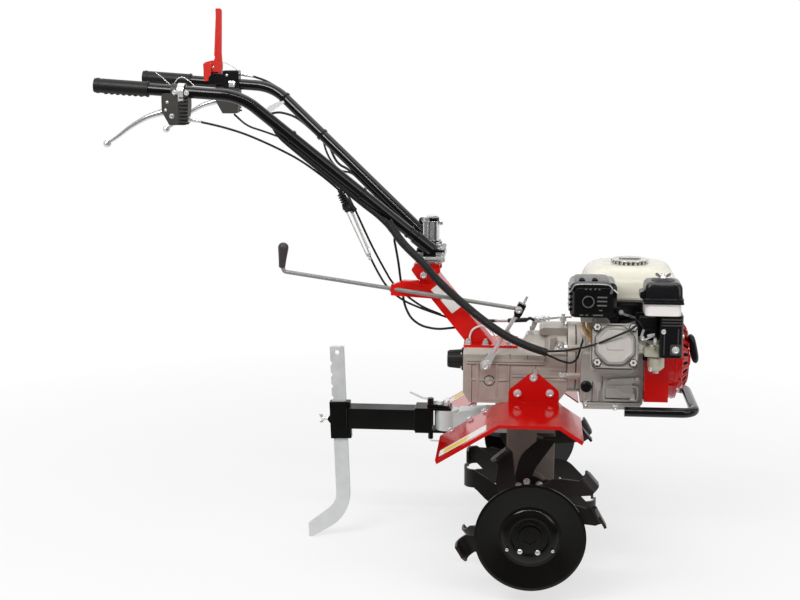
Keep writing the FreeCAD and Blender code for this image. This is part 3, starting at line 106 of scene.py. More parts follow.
def ranged(tree, amount, start, end, low, high):
    """low + (high - low) * (amount - start) / (end - start), held between low and high."""
    return add_node(tree, "MapRange", {"Value": amount, "From Min": start, "From Max": end,
                                       "To Min": low, "To Max": high}).outputs["Result"]


def combined(tree, operation, first, second, clamped=False):
    """One sum of two sockets, such as the greater of them, held between 0 and 1 if clamped."""
    return add_node(tree, "Math", {0: first, 1: second}, operation=operation,
                    use_clamp=clamped).outputs["Value"]


GLOSS_DRIFT = 0.07
COAT_ROUGHNESS = 0.06


def finish(name, color, rough=0.4, metallic=0.0, coat=0.0, specular=0.5, tone=0.08,
           tone_scale=12.0, grain=0.0, grain_scale=400.0):
    """A surface that drifts with slow noise and has a fine grain: its colour goes from
    color * (1 - tone) to color * (1 + tone) with the noise, its roughness from rough - drift to
    rough + drift, and its relief is grain * a second, finer noise."""
    material = bpy.data.materials.new(name)
    material.use_nodes = True
    tree = material.node_tree
    place = add_node(tree, "TexCoord").outputs["Object"]
    drift = add_node(tree, "TexNoise", {"Vector": place, "Scale": tone_scale,
                                        "Detail": 4}).outputs["Fac"]
    dark = (*(c * (1 - tone) for c in color), 1)
    pale = (*(min(1, c * (1 + tone)) for c in color), 1)
    shader = tree.nodes["Principled BSDF"]
    fill(tree, shader, {
        "Base Color": add_node(tree, "Mix", {0: drift, 6: dark, 7: pale},
                               data_type="RGBA").outputs[2],
        "Roughness": ranged(tree, drift, 0.3, 0.7, max(0.02, rough - GLOSS_DRIFT),
                            rough + GLOSS_DRIFT),
        "Metallic": metallic, "Coat Weight": coat, "Coat Roughness": COAT_ROUGHNESS,
        "Specular IOR Level": specular})
    if grain:
        relief = add_node(tree, "TexNoise", {"Vector": place, "Scale": grain_scale, "Detail": 3})
        bump = add_node(tree, "Bump", {"Distance": grain, "Height": relief.outputs["Fac"]})
        fill(tree, shader, {"Normal": bump.outputs["Normal"]})
    return material


MATERIALS = {
    "tine_paint": finish("tine_paint", (0.013, 0.010, 0.009), 0.36, specular=0.4, tone=0.35,
                         grain=0.0002, grain_scale=160),
    "disc_paint": finish("disc_paint", (0.004, 0.0035, 0.003), 0.11, specular=0.42, tone=0.2),
    "bare_steel": finish("bare_steel", (0.42, 0.41, 0.40), 0.35, 0.7, tone=0.15),
    "cast_alloy": finish("cast_alloy", (0.48, 0.44, 0.39), 0.42, 0.45, tone=0.22, tone_scale=22,
                         grain=0.0003, grain_scale=420),
    "engine_alloy": finish("engine_alloy", (0.56, 0.54, 0.50), 0.40, 0.5, tone=0.14,
                           grain=0.0004, grain_scale=800),
    "red_paint": finish("red_paint", (0.50, 0.003, 0.002), 0.15, coat=0.25, specular=0.45, tone=0.05,
                        grain=0.00005, grain_scale=60),
    "black_paint": finish("black_paint", (0.004, 0.004, 0.004), 0.11, coat=0.1, specular=0.42),
    "black_plastic": finish("black_plastic", (0.006, 0.006, 0.007), 0.22, specular=0.45,
                            grain=0.00002, grain_scale=900),
    "black_rubber": finish("black_rubber", (0.011, 0.0105, 0.010), 0.48, specular=0.35, tone=0.15,
                           grain=0.00003, grain_scale=900),
    "cream_paint": finish("cream_paint", (0.76, 0.73, 0.62), 0.24, coat=0.2, tone=0.03),
    "white_plastic": finish("white_plastic", (0.74, 0.70, 0.69), 0.35, tone=0.03),
    "polished_alloy": finish("polished_alloy", (0.86, 0.86, 0.86), 0.11, 0.80, tone=0.04),
    "zinc_plate": finish("zinc_plate", (0.86, 0.86, 0.85), 0.20, 0.62, tone=0.12, tone_scale=60),
    "red_plastic": finish("red_plastic", (0.58, 0.030, 0.022), 0.30, specular=0.35, tone=0.05),
    "grey_plastic": finish("grey_plastic", (0.048, 0.045, 0.041), 0.40, specular=0.35,
                           grain=0.00003, grain_scale=900),
    "galvanised": finish("galvanised", (0.70, 0.72, 0.71), 0.40, 0.4, tone=0.10, tone_scale=40,
                         grain=0.0001, grain_scale=300),
    "hot_steel": finish("hot_steel", (0.66, 0.46, 0.22), 0.28, 0.6, tone=0.35, tone_scale=40),
}
YELLOW_FILM = finish("yellow_film", (0.78, 0.56, 0.04), 0.35, tone=0.05)
TAIL = finish("tail_plastic", (0.60, 0.61, 0.62), 0.40, tone=0.04)
COLUMN = finish("column_paint", (0.64, 0.005, 0.002), 0.20, specular=0.38, tone=0.05)
LEG = finish("leg_casting", (0.24, 0.205, 0.18), 0.40, 0.15, tone=0.2, tone_scale=22,
             grain=0.0003, grain_scale=420)
COVER = finish("cover_alloy", (0.46, 0.435, 0.40), 0.40, 0.5, tone=0.14,
               grain=0.0004, grain_scale=800)
KNOB = finish("knob_plastic", (0.046, 0.036, 0.037), 0.42, tone=0.1)
ROD = finish("rod_steel", (0.26, 0.26, 0.25), 0.38, metallic=0.35)
WHITE_FILM = finish("white_film", (0.78, 0.77, 0.74), 0.35, tone=0.04)
BRASS = finish("brass", (0.62, 0.57, 0.40), 0.3, 1.0, tone=0.2, tone_scale=60)
# dark for holes: painted shade inside vents, openings and the outlet
PAINTED_HOLE_SHADE = finish("painted_hole_shade", (0.004, 0.004, 0.004), 0.8, specular=0.1, tone=0.3)
# dark joints, and shade painted as dark strips in creases and recesses and beside raised lines
DARK_JOINT_AND_PAINTED_SHADE = finish("dark_joint_and_painted_shade", (0.055, 0.048, 0.042), 0.5, specular=0.3, tone=0.4, tone_scale=80)
GUARD = finish("guard_edge", (0.22, 0.22, 0.21), 0.3, 0.6, tone=0.2)
SHIELD = finish("shield_steel", (0.085, 0.083, 0.086), 0.34, 0.55, tone=0.15, tone_scale=40)
HITCH = finish("hitch_paint", (0.004, 0.004, 0.0035), 0.34, specular=0.16, tone=0.2)
BOWL = finish("bowl_alloy", (0.56, 0.54, 0.43), 0.34, 0.35, tone=0.18, tone_scale=50)
CAP = finish("cap_metal", (0.62, 0.61, 0.58), 0.22, 0.8, tone=0.05)


# ---------------------------------------------------------------- numbers into meshes
class Face:
    """A flat working face: point(u, v, w) = origin + u * right + v * up + w * out."""

    def __init__(self, origin, right, up, out=None):
        self.origin, self.right, self.up = (np.array(v, float) for v in (origin, right, up))
        self.out = np.cross(self.right, self.up) if out is None else np.array(out, float)

    def at(self, u, v, w):
        """origin + u * right + v * up + w * out, for single values or whole arrays."""
        u, v, w = (np.asarray(value, float)[..., None] for value in (u, v, w))
        return self.origin + u * self.right + v * self.up + w * self.out

    def loop(self, outline, w):
        """The outline's (u, v) pairs at the height w."""
        return self.at(*np.asarray(outline, float).T, w)


RIGHT_FACE = Face((0, 0, 0), AHEAD, UP)
LEFT_FACE = Face((0, 0, 0), AHEAD, UP, out=LEFT)
PLAN_FACE = Face((0, 0, 0), AHEAD, LEFT)


def axes_about(axis):
    """The unit axis and two unit directions square to it."""
    along = np.array(axis, float) / np.linalg.norm(axis)
    helper = np.eye(3)[np.argmin(np.abs(along))]
    side = np.cross(along, helper)
    side /= np.linalg.norm(side)
    return along, side, np.cross(along, side)


def quads(rows, columns, wrap):
    """Faces between the neighbours of a grid of points stored row by row."""
    row, column = np.meshgrid(np.arange(rows - 1), np.arange(columns if wrap else columns - 1),
                              indexing="ij")
    beside = (column + 1) % columns
    corners = (row * columns + column, row * columns + beside,
               (row + 1) * columns + beside, (row + 1) * columns + column)
    return np.stack(corners, -1).reshape(-1, 4).tolist()


def smooth_path(route, steps):
    """Catmull-Rom curve through the route: each run is the cubic whose slope at a point is
    half the way between the point's neighbours."""
    p = np.array(route, float)
    if len(p) == 2:
        return p
    p = np.vstack([2 * p[0] - p[1], p, 2 * p[-1] - p[-2]])
    a, b, c, d = (p[i:len(p) - 3 + i, None, :] for i in range(4))
    t = np.linspace(0, 1, steps, endpoint=False)[None, :, None]
    runs = 0.5 * (2 * b + (c - a) * t + (2 * a - 5 * b + 4 * c - d) * t ** 2
                  + (3 * b - 3 * c + d - a) * t ** 3)
    return np.vstack([runs.reshape(-1, 3), p[-2]])


def rounded(outline, radius, steps=4):
    """Each corner p becomes the parabola (1-t)^2 a + 2 t (1-t) p + t^2 b, with a and b one
    radius away along its two edges."""
    p = np.array(outline, float)
    before = np.roll(p, 1, 0) - p
    after = np.roll(p, -1, 0) - p
    a = p + before / np.linalg.norm(before, axis=1)[:, None] * radius
    b = p + after / np.linalg.norm(after, axis=1)[:, None] * radius
    t = np.linspace(0, 1, steps + 1)[None, :, None]
    return ((1 - t) ** 2 * a[:, None] + 2 * t * (1 - t) * p[:, None]
            + t ** 2 * b[:, None]).reshape(-1, 2)


def rectangle(x0, x1, y0, y1, radius=0.0, steps=4):
    """A rectangle's outline, its corners rounded if a radius is given."""
    corners = [(x0, y0), (x1, y0), (x1, y1), (x0, y1)]
    return rounded(corners, radius, steps) if radius else np.array(corners, float)


def circle(x, y, radius, steps=32):
    """x + radius * cos, y + radius * sin; a column of radii gives one circle to a row."""
    turn = np.linspace(0, 2 * np.pi, steps, endpoint=False)
    return np.stack([x + radius * np.cos(turn), y + radius * np.sin(turn)], -1)


class Shape:
    """Gathers the grids of one piece, in millimetres about the tine shaft."""

    def __init__(self):
        self.points = []
        self.faces = []
        self.count = 0

    def add(self, points, faces):
        """Appends points, and faces that number them from 0."""
        points = np.asarray(points, float).reshape(-1, 3)
        self.points.append(points)
        self.faces.extend([[self.count + i for i in face] for face in faces])
        self.count += len(points)
        return self

    def skin(self, loops, capped=True):
        """A skin over closed loops of points, row after row, shut by a face at each end."""
        loops = np.asarray(loops, float)
        rows, count = loops.shape[:2]
        faces = quads(rows, count, True)
        if capped:
            first = list(range(count))
            faces += [first, [rows * count - 1 - i for i in first]]
        return self.add(loops, faces)

    def turned(self, profile, base, axis, steps=28, capped=True):
        """Point(i, a) = base + reach_i * axis + radius_i * (cos a * side + sin a * other)."""
        reach, radius = np.array(profile, float).T[..., None, None]
        along, side, other = axes_about(axis)
        a = np.linspace(0, 2 * np.pi, steps, endpoint=False)[:, None]
        spokes = np.cos(a) * side + np.sin(a) * other
        return self.skin(np.array(base, float) + reach * along + radius * spokes, capped)

    def collar(self, base, axis, outer, inner, length, steps=32):
        """A ring: the turned outline of a rectangle that stands off the axis."""
        profile = [(0, inner), (0, outer), (length, outer), (length, inner), (0, inner)]
        return self.turned(profile, base, axis, steps, capped=False)

    def swept(self, line, section, flat=None):
        """Point(i, j) = line_i + section_j across the line, with flat held as near as can be
        to the section's first direction; the section may change from row to row."""
        line = np.asarray(line, float)
        along = np.gradient(line, axis=0)
        along /= np.linalg.norm(along, axis=1)[:, None]
        flat = np.linalg.svd(along)[2][-1] if flat is None else np.asarray(flat, float)
        side = flat - along * (along @ flat)[:, None]
        side /= np.linalg.norm(side, axis=1)[:, None]
        other = np.cross(along, side)
        section = np.broadcast_to(section, (len(line),) + np.shape(section)[-2:])
        return self.skin(line[:, None] + section[..., :1] * side[:, None]
                         + section[..., 1:] * other[:, None])

    def tube(self, route, radius, steps=12, smooth=8):
        """A round section swept along the smooth path through the route."""
        return self.swept(smooth_path(route, smooth), circle(0, 0, radius, steps))

    def coil(self, base, axis, radius, wire, turns, length, steps=10):
        """A wire along base + length * t * axis + radius * (cos, sin)(2 pi turns t)."""
        along, side, other = axes_about(axis)
        t = np.linspace(0, 1, int(turns * steps) + 1)[:, None]
        a = 2 * np.pi * turns * t
        around = radius * (np.cos(a) * side + np.sin(a) * other)
        line = np.array(base, float) + length * t * along + around
        return self.swept(line, circle(0, 0, wire, 6), flat=along)

    def slab(self, outline, low, high, face=RIGHT_FACE):
        """The outline at two heights over a face, walled between them."""
        return self.skin([face.loop(outline, w) for w in (low, high)])

    def ridge(self, outline, width, low, high, face=RIGHT_FACE):
        """A band between the outline and the same outline shrunk towards its middle."""
        outline = np.asarray(outline, float)
        middle = (outline.max(0) + outline.min(0)) / 2
        half = (outline.max(0) - outline.min(0)) / 2
        inner = middle + (outline - middle) * (1 - width / half)
        rows = ((inner, low), (outline, low), (outline, high), (inner, high), (inner, low))
        return self.skin([face.loop(loop, w) for loop, w in rows], capped=False)

    def block(self, x, y, z):
        """A block between two corners, given as the lowest and highest x, y and z."""
        return self.slab(rectangle(*x, *sorted(y)), *z, PLAN_FACE)

    def hexagon(self, base, axis, flats, length):
        """A six-sided head, chamfered and dished at its far end: a profile turned in six."""
        corner = flats / math.sqrt(3)
        chamfer = flats * 0.07
        return self.turned([(0, corner), (length - chamfer, corner), (length, corner - chamfer),
                            (length, corner * 0.66), (length - chamfer, corner * 0.5)],
                           base, axis, 6)

    def bolt(self, base, axis, flats=13.0, length=6.0, washer=0.0, thread=0.0):
        """A washer, a six-sided head and the end of the thread, on the face at base."""
        base = np.array(base, float)
        along = axes_about(axis)[0]
        if washer:
            thick = 1.6
            self.turned([(0, washer), (thick - 0.3, washer), (thick, washer - 0.3)], base, along)
            base = base + along * thick
        self.hexagon(base, along, flats, length)
        if thread:
            self.turned([(length - 1.6, flats * 0.3), (length + thread, flats * 0.3),
                         (length + thread + 1, flats * 0.22)], base, along, 14)
        return self

    def dome(self, base, axis, radius=4.0, height=0.55):
        """A round head: radius_i = radius * cos, reach_i = radius * (0.2 + height * sin), over
        the most of a quarter turn."""
        a = np.linspace(0, np.pi / 2, 6)[:-1]
        rim = np.stack([radius * (0.2 + height * np.sin(a)), radius * np.cos(a)], -1)
        return self.turned(np.vstack([(0, radius), rim]), base, axis, 20)

    def wall(self, lower, upper):
        """A closed sheet between two matching grids of points, one for each of its skins."""
        lower, upper = np.asarray(lower, float), np.asarray(upper, float)
        rows, columns = lower.shape[:2]
        size = rows * columns
        faces = quads(rows, columns, False)
        faces += [[size + i for i in face] for face in faces]
        grid = np.arange(size).reshape(rows, columns)
        edge = np.concatenate([grid[0, :-1], grid[:-1, -1], grid[-1, :0:-1], grid[:0:-1, 0]])
        after = np.roll(edge, -1)
        faces += np.stack([edge, after, after + size, edge + size], -1).tolist()
        return self.add(np.vstack([lower.reshape(-1, 3), upper.reshape(-1, 3)]), faces)

    def mirrored(self):
        """Adds the same points with y turned over."""
        faces = [list(reversed(face)) for face in self.faces]
        return self.add(np.vstack(self.points) * (1, -1, 1), faces)

    def mesh(self, name):
        """The gathered grids as one mesh, in metres and in the frame."""
        mesh = bpy.data.meshes.new(name)
        mesh.from_pydata(into_frame(np.vstack(self.points)).tolist(), [], self.faces)
        return mesh

    def done(self, name, material, body, slot, bevel=0.0):
        """Makes the object, riding on its body."""
        return settle(name, self.mesh(name), material, body, bevel)


POINT_MERGE = 1e-6    # metres within which a piece's own points join


def settle(name, mesh, material, body, bevel):
    """Merges and turns a mesh outwards, and gives it its surface, rounded edges and body."""
    work = bmesh.new()
    work.from_mesh(mesh)
    bmesh.ops.remove_doubles(work, verts=work.verts, dist=POINT_MERGE)
    bmesh.ops.recalc_face_normals(work, faces=work.faces)
    work.to_mesh(mesh)
    work.free()
    mesh.materials.clear()
    mesh.materials.append(material)
    piece = bpy.data.objects.new(name, mesh)
    bpy.context.scene.collection.objects.link(piece)
    mesh.shade_smooth()
    mesh.set_sharp_from_angle(angle=math.radians(SHARP))
    if bevel:
        rounding = piece.modifiers.new("rounding", "BEVEL")
        rounding.width = bevel / 1000
        rounding.segments = 2
        rounding.limit_method = "ANGLE"
        rounding.angle_limit = math.radians(30)
        rounding.harden_normals = True
    if body:
        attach(piece, body)
    return piece


def on(node, shape, name, slot, bevel=0.0, material=None):
    """Makes a shape that rides with a node, in one of the record's finishes."""
    return shape.done(name, material or MATERIALS[slot], BODY_OF[node], slot, bevel)


# ---------------------------------------------------------------- the CAD nodes, finished
NODE_MERGE = 2e-5     # metres within which a node's loose triangles join
TILT_FROM, SWIVEL_FROM, SWIVEL_FULL = 430.0, 560.0, 620.0      # heights given for the cables; supple() cuts them at SWIVEL_FROM and uses the others for nothing


def take_off(work, point, normal):
    """Takes off what lies past a plane, given by a point and its outward normal, and closes
    the cut."""
    made = bmesh.ops.bisect_plane(work, geom=[*work.verts, *work.edges, *work.faces],
                                  plane_co=into_frame(point), plane_no=normal, clear_outer=True)
    rim = [edge for edge in made["geom_cut"] if isinstance(edge, bmesh.types.BMEdge)]
    bmesh.ops.holes_fill(work, edges=rim)


def supple(name, source, slot, node=None):
    """A cable cut at the height SWIVEL_FROM into a low and a high piece of their own, neither attached
    to a body; it stands for the node, if one is given."""
    for part, up, lower, upper, start, end in (
            ("low", 1, "chassis", "handle_head", TILT_FROM, SWIVEL_FROM),
            ("high", -1, "handle_head", "handlebars", SWIVEL_FROM, SWIVEL_FULL)):
        work = bmesh.new()
        work.from_mesh(source)
        bmesh.ops.remove_doubles(work, verts=work.verts, dist=NODE_MERGE if node else POINT_MERGE)
        take_off(work, (0, 0, SWIVEL_FROM), (0, 0, up))
        mesh = bpy.data.meshes.new(name + "_" + part)
        work.to_mesh(mesh)
        work.free()
        if not mesh.polygons:
            continue
        piece = settle(name + "_" + part, mesh, MATERIALS[slot], None, 0.0)
        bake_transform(piece)
        if node:
            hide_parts(node)


def finished(node, bevel, material=None, cut=None):
    """A copy of a CAD node with its flat faces merged and its edges rounded, shown instead of
    it; what lies past the plane cut (a point and its outward normal) is taken off."""
    work = bmesh.new()
    work.from_mesh(NODES[node].data)
    bmesh.ops.remove_doubles(work, verts=work.verts, dist=NODE_MERGE)
    if cut:
        take_off(work, *cut)
    bmesh.ops.dissolve_limit(work, angle_limit=math.radians(1.0), verts=work.verts,
                             edges=work.edges)
    mesh = bpy.data.meshes.new(node + "_finished")
    work.to_mesh(mesh)
    work.free()
    slot = SLOT_OF[node]
    piece = settle(node + "_finished", mesh, material or MATERIALS[slot], BODY_OF[node],
                   bevel)
    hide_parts(node)
    return piece


OWN_FINISH = {"hitch_arm": HITCH, "carburettor": BOWL, "handle_column": COLUMN,
              "tilt_head": COLUMN, "axle_leg": LEG, "shift_rod": ROD, "valve_cover": COVER}
SUPPLE_CABLES = ("cable_boot", "cable_column", "cable_left_lever", "cable_loop",
                 "cable_right_lever", "cable_sleeve")
ROUNDED = {
    "gearbox_lower_case": 3.0, "gearbox_upper_case": 3.0, "bell_housing": 2.0, "axle_leg": 6.0,
    "engine_crankcase": 3.0, "engine_cylinder": 0.6, "fan_shroud": 2.5, "recoil_cover": 1.5,
    "air_cleaner_band": 2.0, "air_cleaner_body": 2.0,
    "carburettor": 1.5, "fender_left": 0.6, "fender_right": 0.6, "hitch_bracket": 2.5,
    "hitch_arm": 1.2, "drag_stake": 1.0, "handle_column": 1.0, "tilt_head": 1.0,
    "handle_clamp": 1.0, "lever_housing_left": 1.5, "lever_housing_right": 1.5, "red_lever": 1.2,
    "red_lever_mount": 1.5, "shift_arm": 0.8, "tine_reel_left": 0.8, "tine_reel_right": 0.8,
    "tank_bracket": 0.6,
}
CORNER_CUT = {"lever_housing_right": ((-849, 0, 917), (-0.877, 0, -0.480)),
              "lever_housing_left": ((-816, 0, 917), (-0.877, 0, -0.480))}

for node, thing in NODES.items():
    thing.data.materials.clear()
    thing.data.materials.append(OWN_FINISH.get(node, MATERIALS[SLOT_OF[node]]))
for node in SUPPLE_CABLES:
    supple(node + "_bent", NODES[node].data, SLOT_OF[node], node)
for node, width in ROUNDED.items():
    finished(node, width, OWN_FINISH.get(node), CORNER_CUT.get(node))


# ---------------------------------------------------------------- places that pieces share
CRANK_Z = 330.0                     # height of the crankshaft
CASE_SIDE = 70.0                    # half the gearbox's width
FAN_Z = 338.0                       # height of the fan's axis
DISC_Y = 396                        # outer face of a side disc
SWIVEL_X = -252                     # axis about which the handlebars swivel
MUFFLER_FRONT = -205.0              # y of the exhaust box's outer face
OUTLET = (126.5, 512)               # x and z of its outlet
BELL_LUGS = np.radians([23, 83, 152, 203, 262, 335])


# ---------------------------------------------------------------- gearbox and bell
def casting_seams():
    """Raised casting lines and pads on both sides of the gearbox, each line with a dark strip painted
    beside it as its shade, dark strips painted as shade along the case and round the level plug, and
    the level plug."""
    seams, lines, plug = Shape(), Shape(), Shape()
    for side, face in ((-1, RIGHT_FACE), (1, LEFT_FACE)):
        for x, low, high in ((-151, 224, 322), (-57, 230, 322), (6, 298, 322), (-113, 338, 350),
                             (-57, 338, 350), (-14, 338, 348)):
            seams.slab(rectangle(x - 2, x + 2, low, high), CASE_SIDE - 1, CASE_SIDE + 2.6, face)
            # dark strip painted beside the raised line as its shade
            lines.slab(rectangle(x + 2, x + 3.4, low, high), CASE_SIDE - 1, CASE_SIDE + 0.4, face)
        for x0, x1, z in ((-151, -57, 283), (-48, 62, 294)):
            seams.slab(rectangle(x0, x1, z - 2, z + 2), CASE_SIDE - 1, CASE_SIDE + 2.6, face)
            lines.slab(rectangle(x0, x1, z - 3.6, z - 2), CASE_SIDE - 1, CASE_SIDE + 0.4, face)
        lines.slab(rectangle(-161, 29, 321.6, 323.6), CASE_SIDE - 1, CASE_SIDE + 0.5, face)
        lines.slab(rectangle(-161, 29, 329.4, 330.6), CASE_SIDE + 4, CASE_SIDE + 6.4, face)
        seams.slab(rounded([(-50, 226), (62, 226), (72, 262), (60, 288), (-46, 288)], 10),
                   CASE_SIDE - 2, CASE_SIDE + 1.8, face)
        for outline in (rectangle(-48, 0, 300, 316, 5), rectangle(-134, -66, 232, 276, 8)):
            seams.slab(outline, CASE_SIDE - 2, CASE_SIDE + 1.4, face)
        seams.turned([(0, 8), (5, 7)], (8, side * (CASE_SIDE - 1), 306), (0, side, 0), 24)
        lines.turned([(0, 13.8), (0.8, 13.8)], (-105, side * (CASE_SIDE + 0.7), 281), (0, side, 0))
        plug.turned([(0, 11.5), (3.0, 11.5), (3.4, 11)], (-105, side * CASE_SIDE, 281), (0, side, 0))
        plug.bolt((-105, side * (CASE_SIDE + 3.4), 281), (0, side, 0), 15, 5)
    on("gearbox_lower_case", seams, "casting_seams", "cast_alloy", 0.9)
    on("gearbox_lower_case", lines, "seam_painted_shade", "cast_alloy", material=DARK_JOINT_AND_PAINTED_SHADE)
    on("gearbox_lower_case", plug, "level_plug", "cast_alloy", 0.5)


def bell_lugs():
    """Lugs round the bell's bolted flange, its bolts and washers, its joints and top boss."""
    lugs, bolts = Shape(), Shape()
    for turn in BELL_LUGS:
        y, z = 78 * math.cos(turn), CRANK_Z + 78 * math.sin(turn)
        lugs.turned([(0, 9), (1, 10), (32, 10), (33, 9)], (85, y, z), AHEAD, 24)
        bolts.bolt((85, y, z), BACK, 13, 7, washer=9)
    for side in (-1, 1):
        for x, z, reach in ((71, 299, 62), (68, 372, 58)):
            lugs.turned([(0, 9.5), (30, 9.5), (31, 8.5)], (x, side * (reach - 26), z), (0, side, 0), 24)
            bolts.bolt((x, side * (reach + 5), z), (0, side, 0), 11, 5, washer=7.5)
    boss = rounded([(24, 391), (86, 391), (86, 411), (24, 411), (15, 401)], 6)
    lugs.slab(boss, -38, 38)
    lugs.slab(rounded([(40, 352), (50, 352), (58, 392), (44, 392)], 3), 20, 66)
    for side in (-1, 1):
        for z in (352, 314, 286):
            lugs.block((44, 86), (side * 40, side * 74), (z - 2.5, z + 2.5))
    on("bell_housing", lugs, "bell_lugs", "cast_alloy", 1.0)
    on("bell_housing", bolts, "bell_bolts", "zinc_plate", 0.4)
    joint = Shape()
    for x, width in ((83.6, 1.6), (104.6, 3.6)):
        joint.collar((x, 0, CRANK_Z), AHEAD, 80.9, 70, width, 96)
    on("bell_housing", joint, "bell_joints", "cast_alloy", material=DARK_JOINT_AND_PAINTED_SHADE)


def leg_details():
    """Bolts that hold the leg under the gearbox, and the seal rings of the tine shaft."""
    bolts, seals = Shape(), Shape()
    for side in (-1, 1):
        for x in (-56, -20, 20, 56):
            bolts.bolt((x, side * 47, 216), DOWN, 11, 5, washer=7)
        seals.collar((0, side * 62, 0), (0, side, 0), 30, 17, 3)
        for turn in np.radians([30, 90, 150, 210, 270, 330]):
            bolts.bolt((37 * math.cos(turn), side * 62, 37 * math.sin(turn)), (0, side, 0), 8, 4)
    on("axle_leg", bolts, "leg_bolts", "zinc_plate", 0.3)
    on("axle_leg", seals, "shaft_seals", "black_rubber", 0.5)


def shaft_cap_details():
    """Grip ridges round the rubber cap and the screws of its flange."""
    low, high = span("rear_shaft_cap")
    z = (low[2] + high[2]) / 2
    ridges = Shape()
    for turn in np.linspace(0, 2 * np.pi, 16, endpoint=False):
        out = np.array([0, math.cos(turn), math.sin(turn)])
        line = [np.array((-177, 0, z)) + out * 23.6, np.array((-209, 0, z)) + out * 20.6]
        ridges.swept(line, circle(0, 0, 1.3, 8))
    on("rear_shaft_cap", ridges, "cap_ridges", "black_rubber")
    screws = Shape()
    for turn in np.radians([45, 135, 225, 315]):
        screws.dome((-176, 25 * math.cos(turn), z + 25 * math.sin(turn)), BACK, 3.5)
    on("rear_shaft_cap", screws, "cap_screws", "zinc_plate")


def clutch_linkage():
    """Threaded rod, sleeve, spring and studs that run along the top of the gearbox."""
    rods = Shape()
    rods.tube([(-94, -20, 422), (-60, -20, 423)], 3.4)
    rods.coil((-94, -20, 422), (1, 0, 0.03), 3.8, 0.9, 13, 32)
    rods.tube([(0, -20, 425), (27, -12, 427.5), (68, 0, 430), (96, 4, 431)], 3.6)
    rods.coil((6, -19, 425), (1, 0.25, 0.08), 6.8, 1.5, 5, 17)
    rods.bolt((24, -13, 427), (1, 0.3, 0.05), 14, 6, washer=9)
    rods.bolt((36, -9, 428), (1, 0.3, 0.05), 11, 5)
    rods.turned([(0, 5), (30, 5), (31, 4)], (75, 0, 408), UP)
    rods.bolt((75, 0, 422), UP, 15, 9, washer=9.5)
    rods.turned([(0, 3.5), (22, 3.5), (23, 2.8)], (-4, -14, 386), UP)
    rods.bolt((-4, -14, 388.5), UP, 14, 7, washer=11)
    rods.slab(rounded([(-6, 398), (4, 398), (16, 428), (8, 434), (0, 426)], 3), 12, 14.5)
    rods.bolt((8, -15, 427), RIGHT, 11, 5, washer=7)
    on("gearbox_upper_case", rods, "clutch_linkage", "zinc_plate", 0.3)
    sleeve = Shape()
    sleeve.turned([(0, 4.0), (2, 5.6), (46, 5.6), (48, 4.0)], (-62, -20, 423), (1, 0, 0.06))
    sleeve.tube([(-15, -20, 425.5), (-8, -20, 430), (0, -20, 427), (4, -20, 425)], 3.8)
    sleeve.tube([(-128, -20, 420), (-110, -20, 421.5), (-90, -20, 422)], 4.0)
    on("gearbox_upper_case", sleeve, "linkage_sleeve", "black_rubber")


# ---------------------------------------------------------------- fenders
def fender_details():
    """Bolts of the side plates and tops, fold beads, and the blank films on the sloping wings,
    each a face at foot + u * slope along the wing and v across it."""
    bolts, heads, beads = Shape(), Shape(), Shape()
    foot, crest = np.array((-226.0, 0, 137.0)), np.array((-78.0, 0, 228.0))
    slope = (crest - foot) / np.linalg.norm(crest - foot)
    normal = np.array([-slope[2], 0, slope[0]])
    for side, name in SIDES:
        for x, z in ((4, 291.5), (-35, 251), (44.5, 253)):
            bolts.bolt((x, side * 73, z), (0, side, 0), 13, 6, washer=10)
        for x in (-34.5, 44.3):
            heads.dome((x, side * 129, 228), UP, 8.5)
            bolts.bolt((x, side * 129, 225), DOWN, 13, 6, washer=9, thread=5)
        for reach in (33, 89, 131):
            spot = foot + (0, side * 84, 0) + slope * reach
            bolts.bolt(spot, normal, 13, 6, washer=9)
            bolts.bolt(spot - normal * 3.2, -normal, 13, 6, washer=9, thread=4)
        beads.block((-30, 40), (side * 268, side * 271), (227, 229.5))
        wing = Face(foot, slope, (0, side, 0), out=normal)
        border = Shape()
        border.slab(rectangle(10, 140, 214, 262, 3), 0.0, 0.25, wing)
        on("fender_" + name, border, "wing_film_border_" + name, "white_plastic", material=WHITE_FILM)
        panel = Shape()
        panel.slab(rounded([(24, 224), (92, 224), (86, 256), (24, 256)], 2), 0.0, 0.4, wing)
        on("fender_" + name, panel, "wing_film_" + name, "white_plastic", material=YELLOW_FILM)
    on("fender_right", bolts, "fender_bolts", "zinc_plate", 0.4)
    on("fender_right", heads, "fender_screws", "red_paint")
    on("fender_right", beads, "fender_beads", "red_paint", 0.8)


# ---------------------------------------------------------------- column and gear change
def column_details():
    """Foot bolts, the blank white film on the cheek and the guide arm, the pale cable clip and its
    wire."""
    bolts = Shape()
    for x in (-160, -116, -60):
        for side in (-1, 1):
            bolts.bolt((x, side * 46, 367), UP, 13, 7, washer=9.5, thread=5)
    on("handle_column", bolts, "column_bolts", "zinc_plate", 0.4)
    film = Shape()
    film.slab(rounded([(-200, 441), (-177.5, 459), (-229, 521), (-252, 503)], 3), 33, 33.3)
    arm = Face((0, 70.46, 0), (1, 0.471, 0), UP, out=(0.426, -0.905, 0))
    film.slab([(-226.2, 483), (-226.2, 517), (-229, 521), (-252, 503), (-236, 484)], 0.1, 0.4, arm)
    on("handle_column", film, "column_film", "white_plastic", material=WHITE_FILM)
    clip = Shape()
    clip.tube([(-154, -40, 369), (-155, -40, 386), (-147, -40, 404), (-125, -40, 413),
               (-108, -40, 405.7), (-102, -40, 397)], 2.4)
    on("handle_column", clip, "cable_clip", "white_plastic")
    wire = Shape()
    wire.tube([(-112, -38, 412), (-104, -38, 402), (-92, -38, 386), (-84, -38, 371)], 1.3)
    on("handle_column", wire, "clip_wire", "zinc_plate")


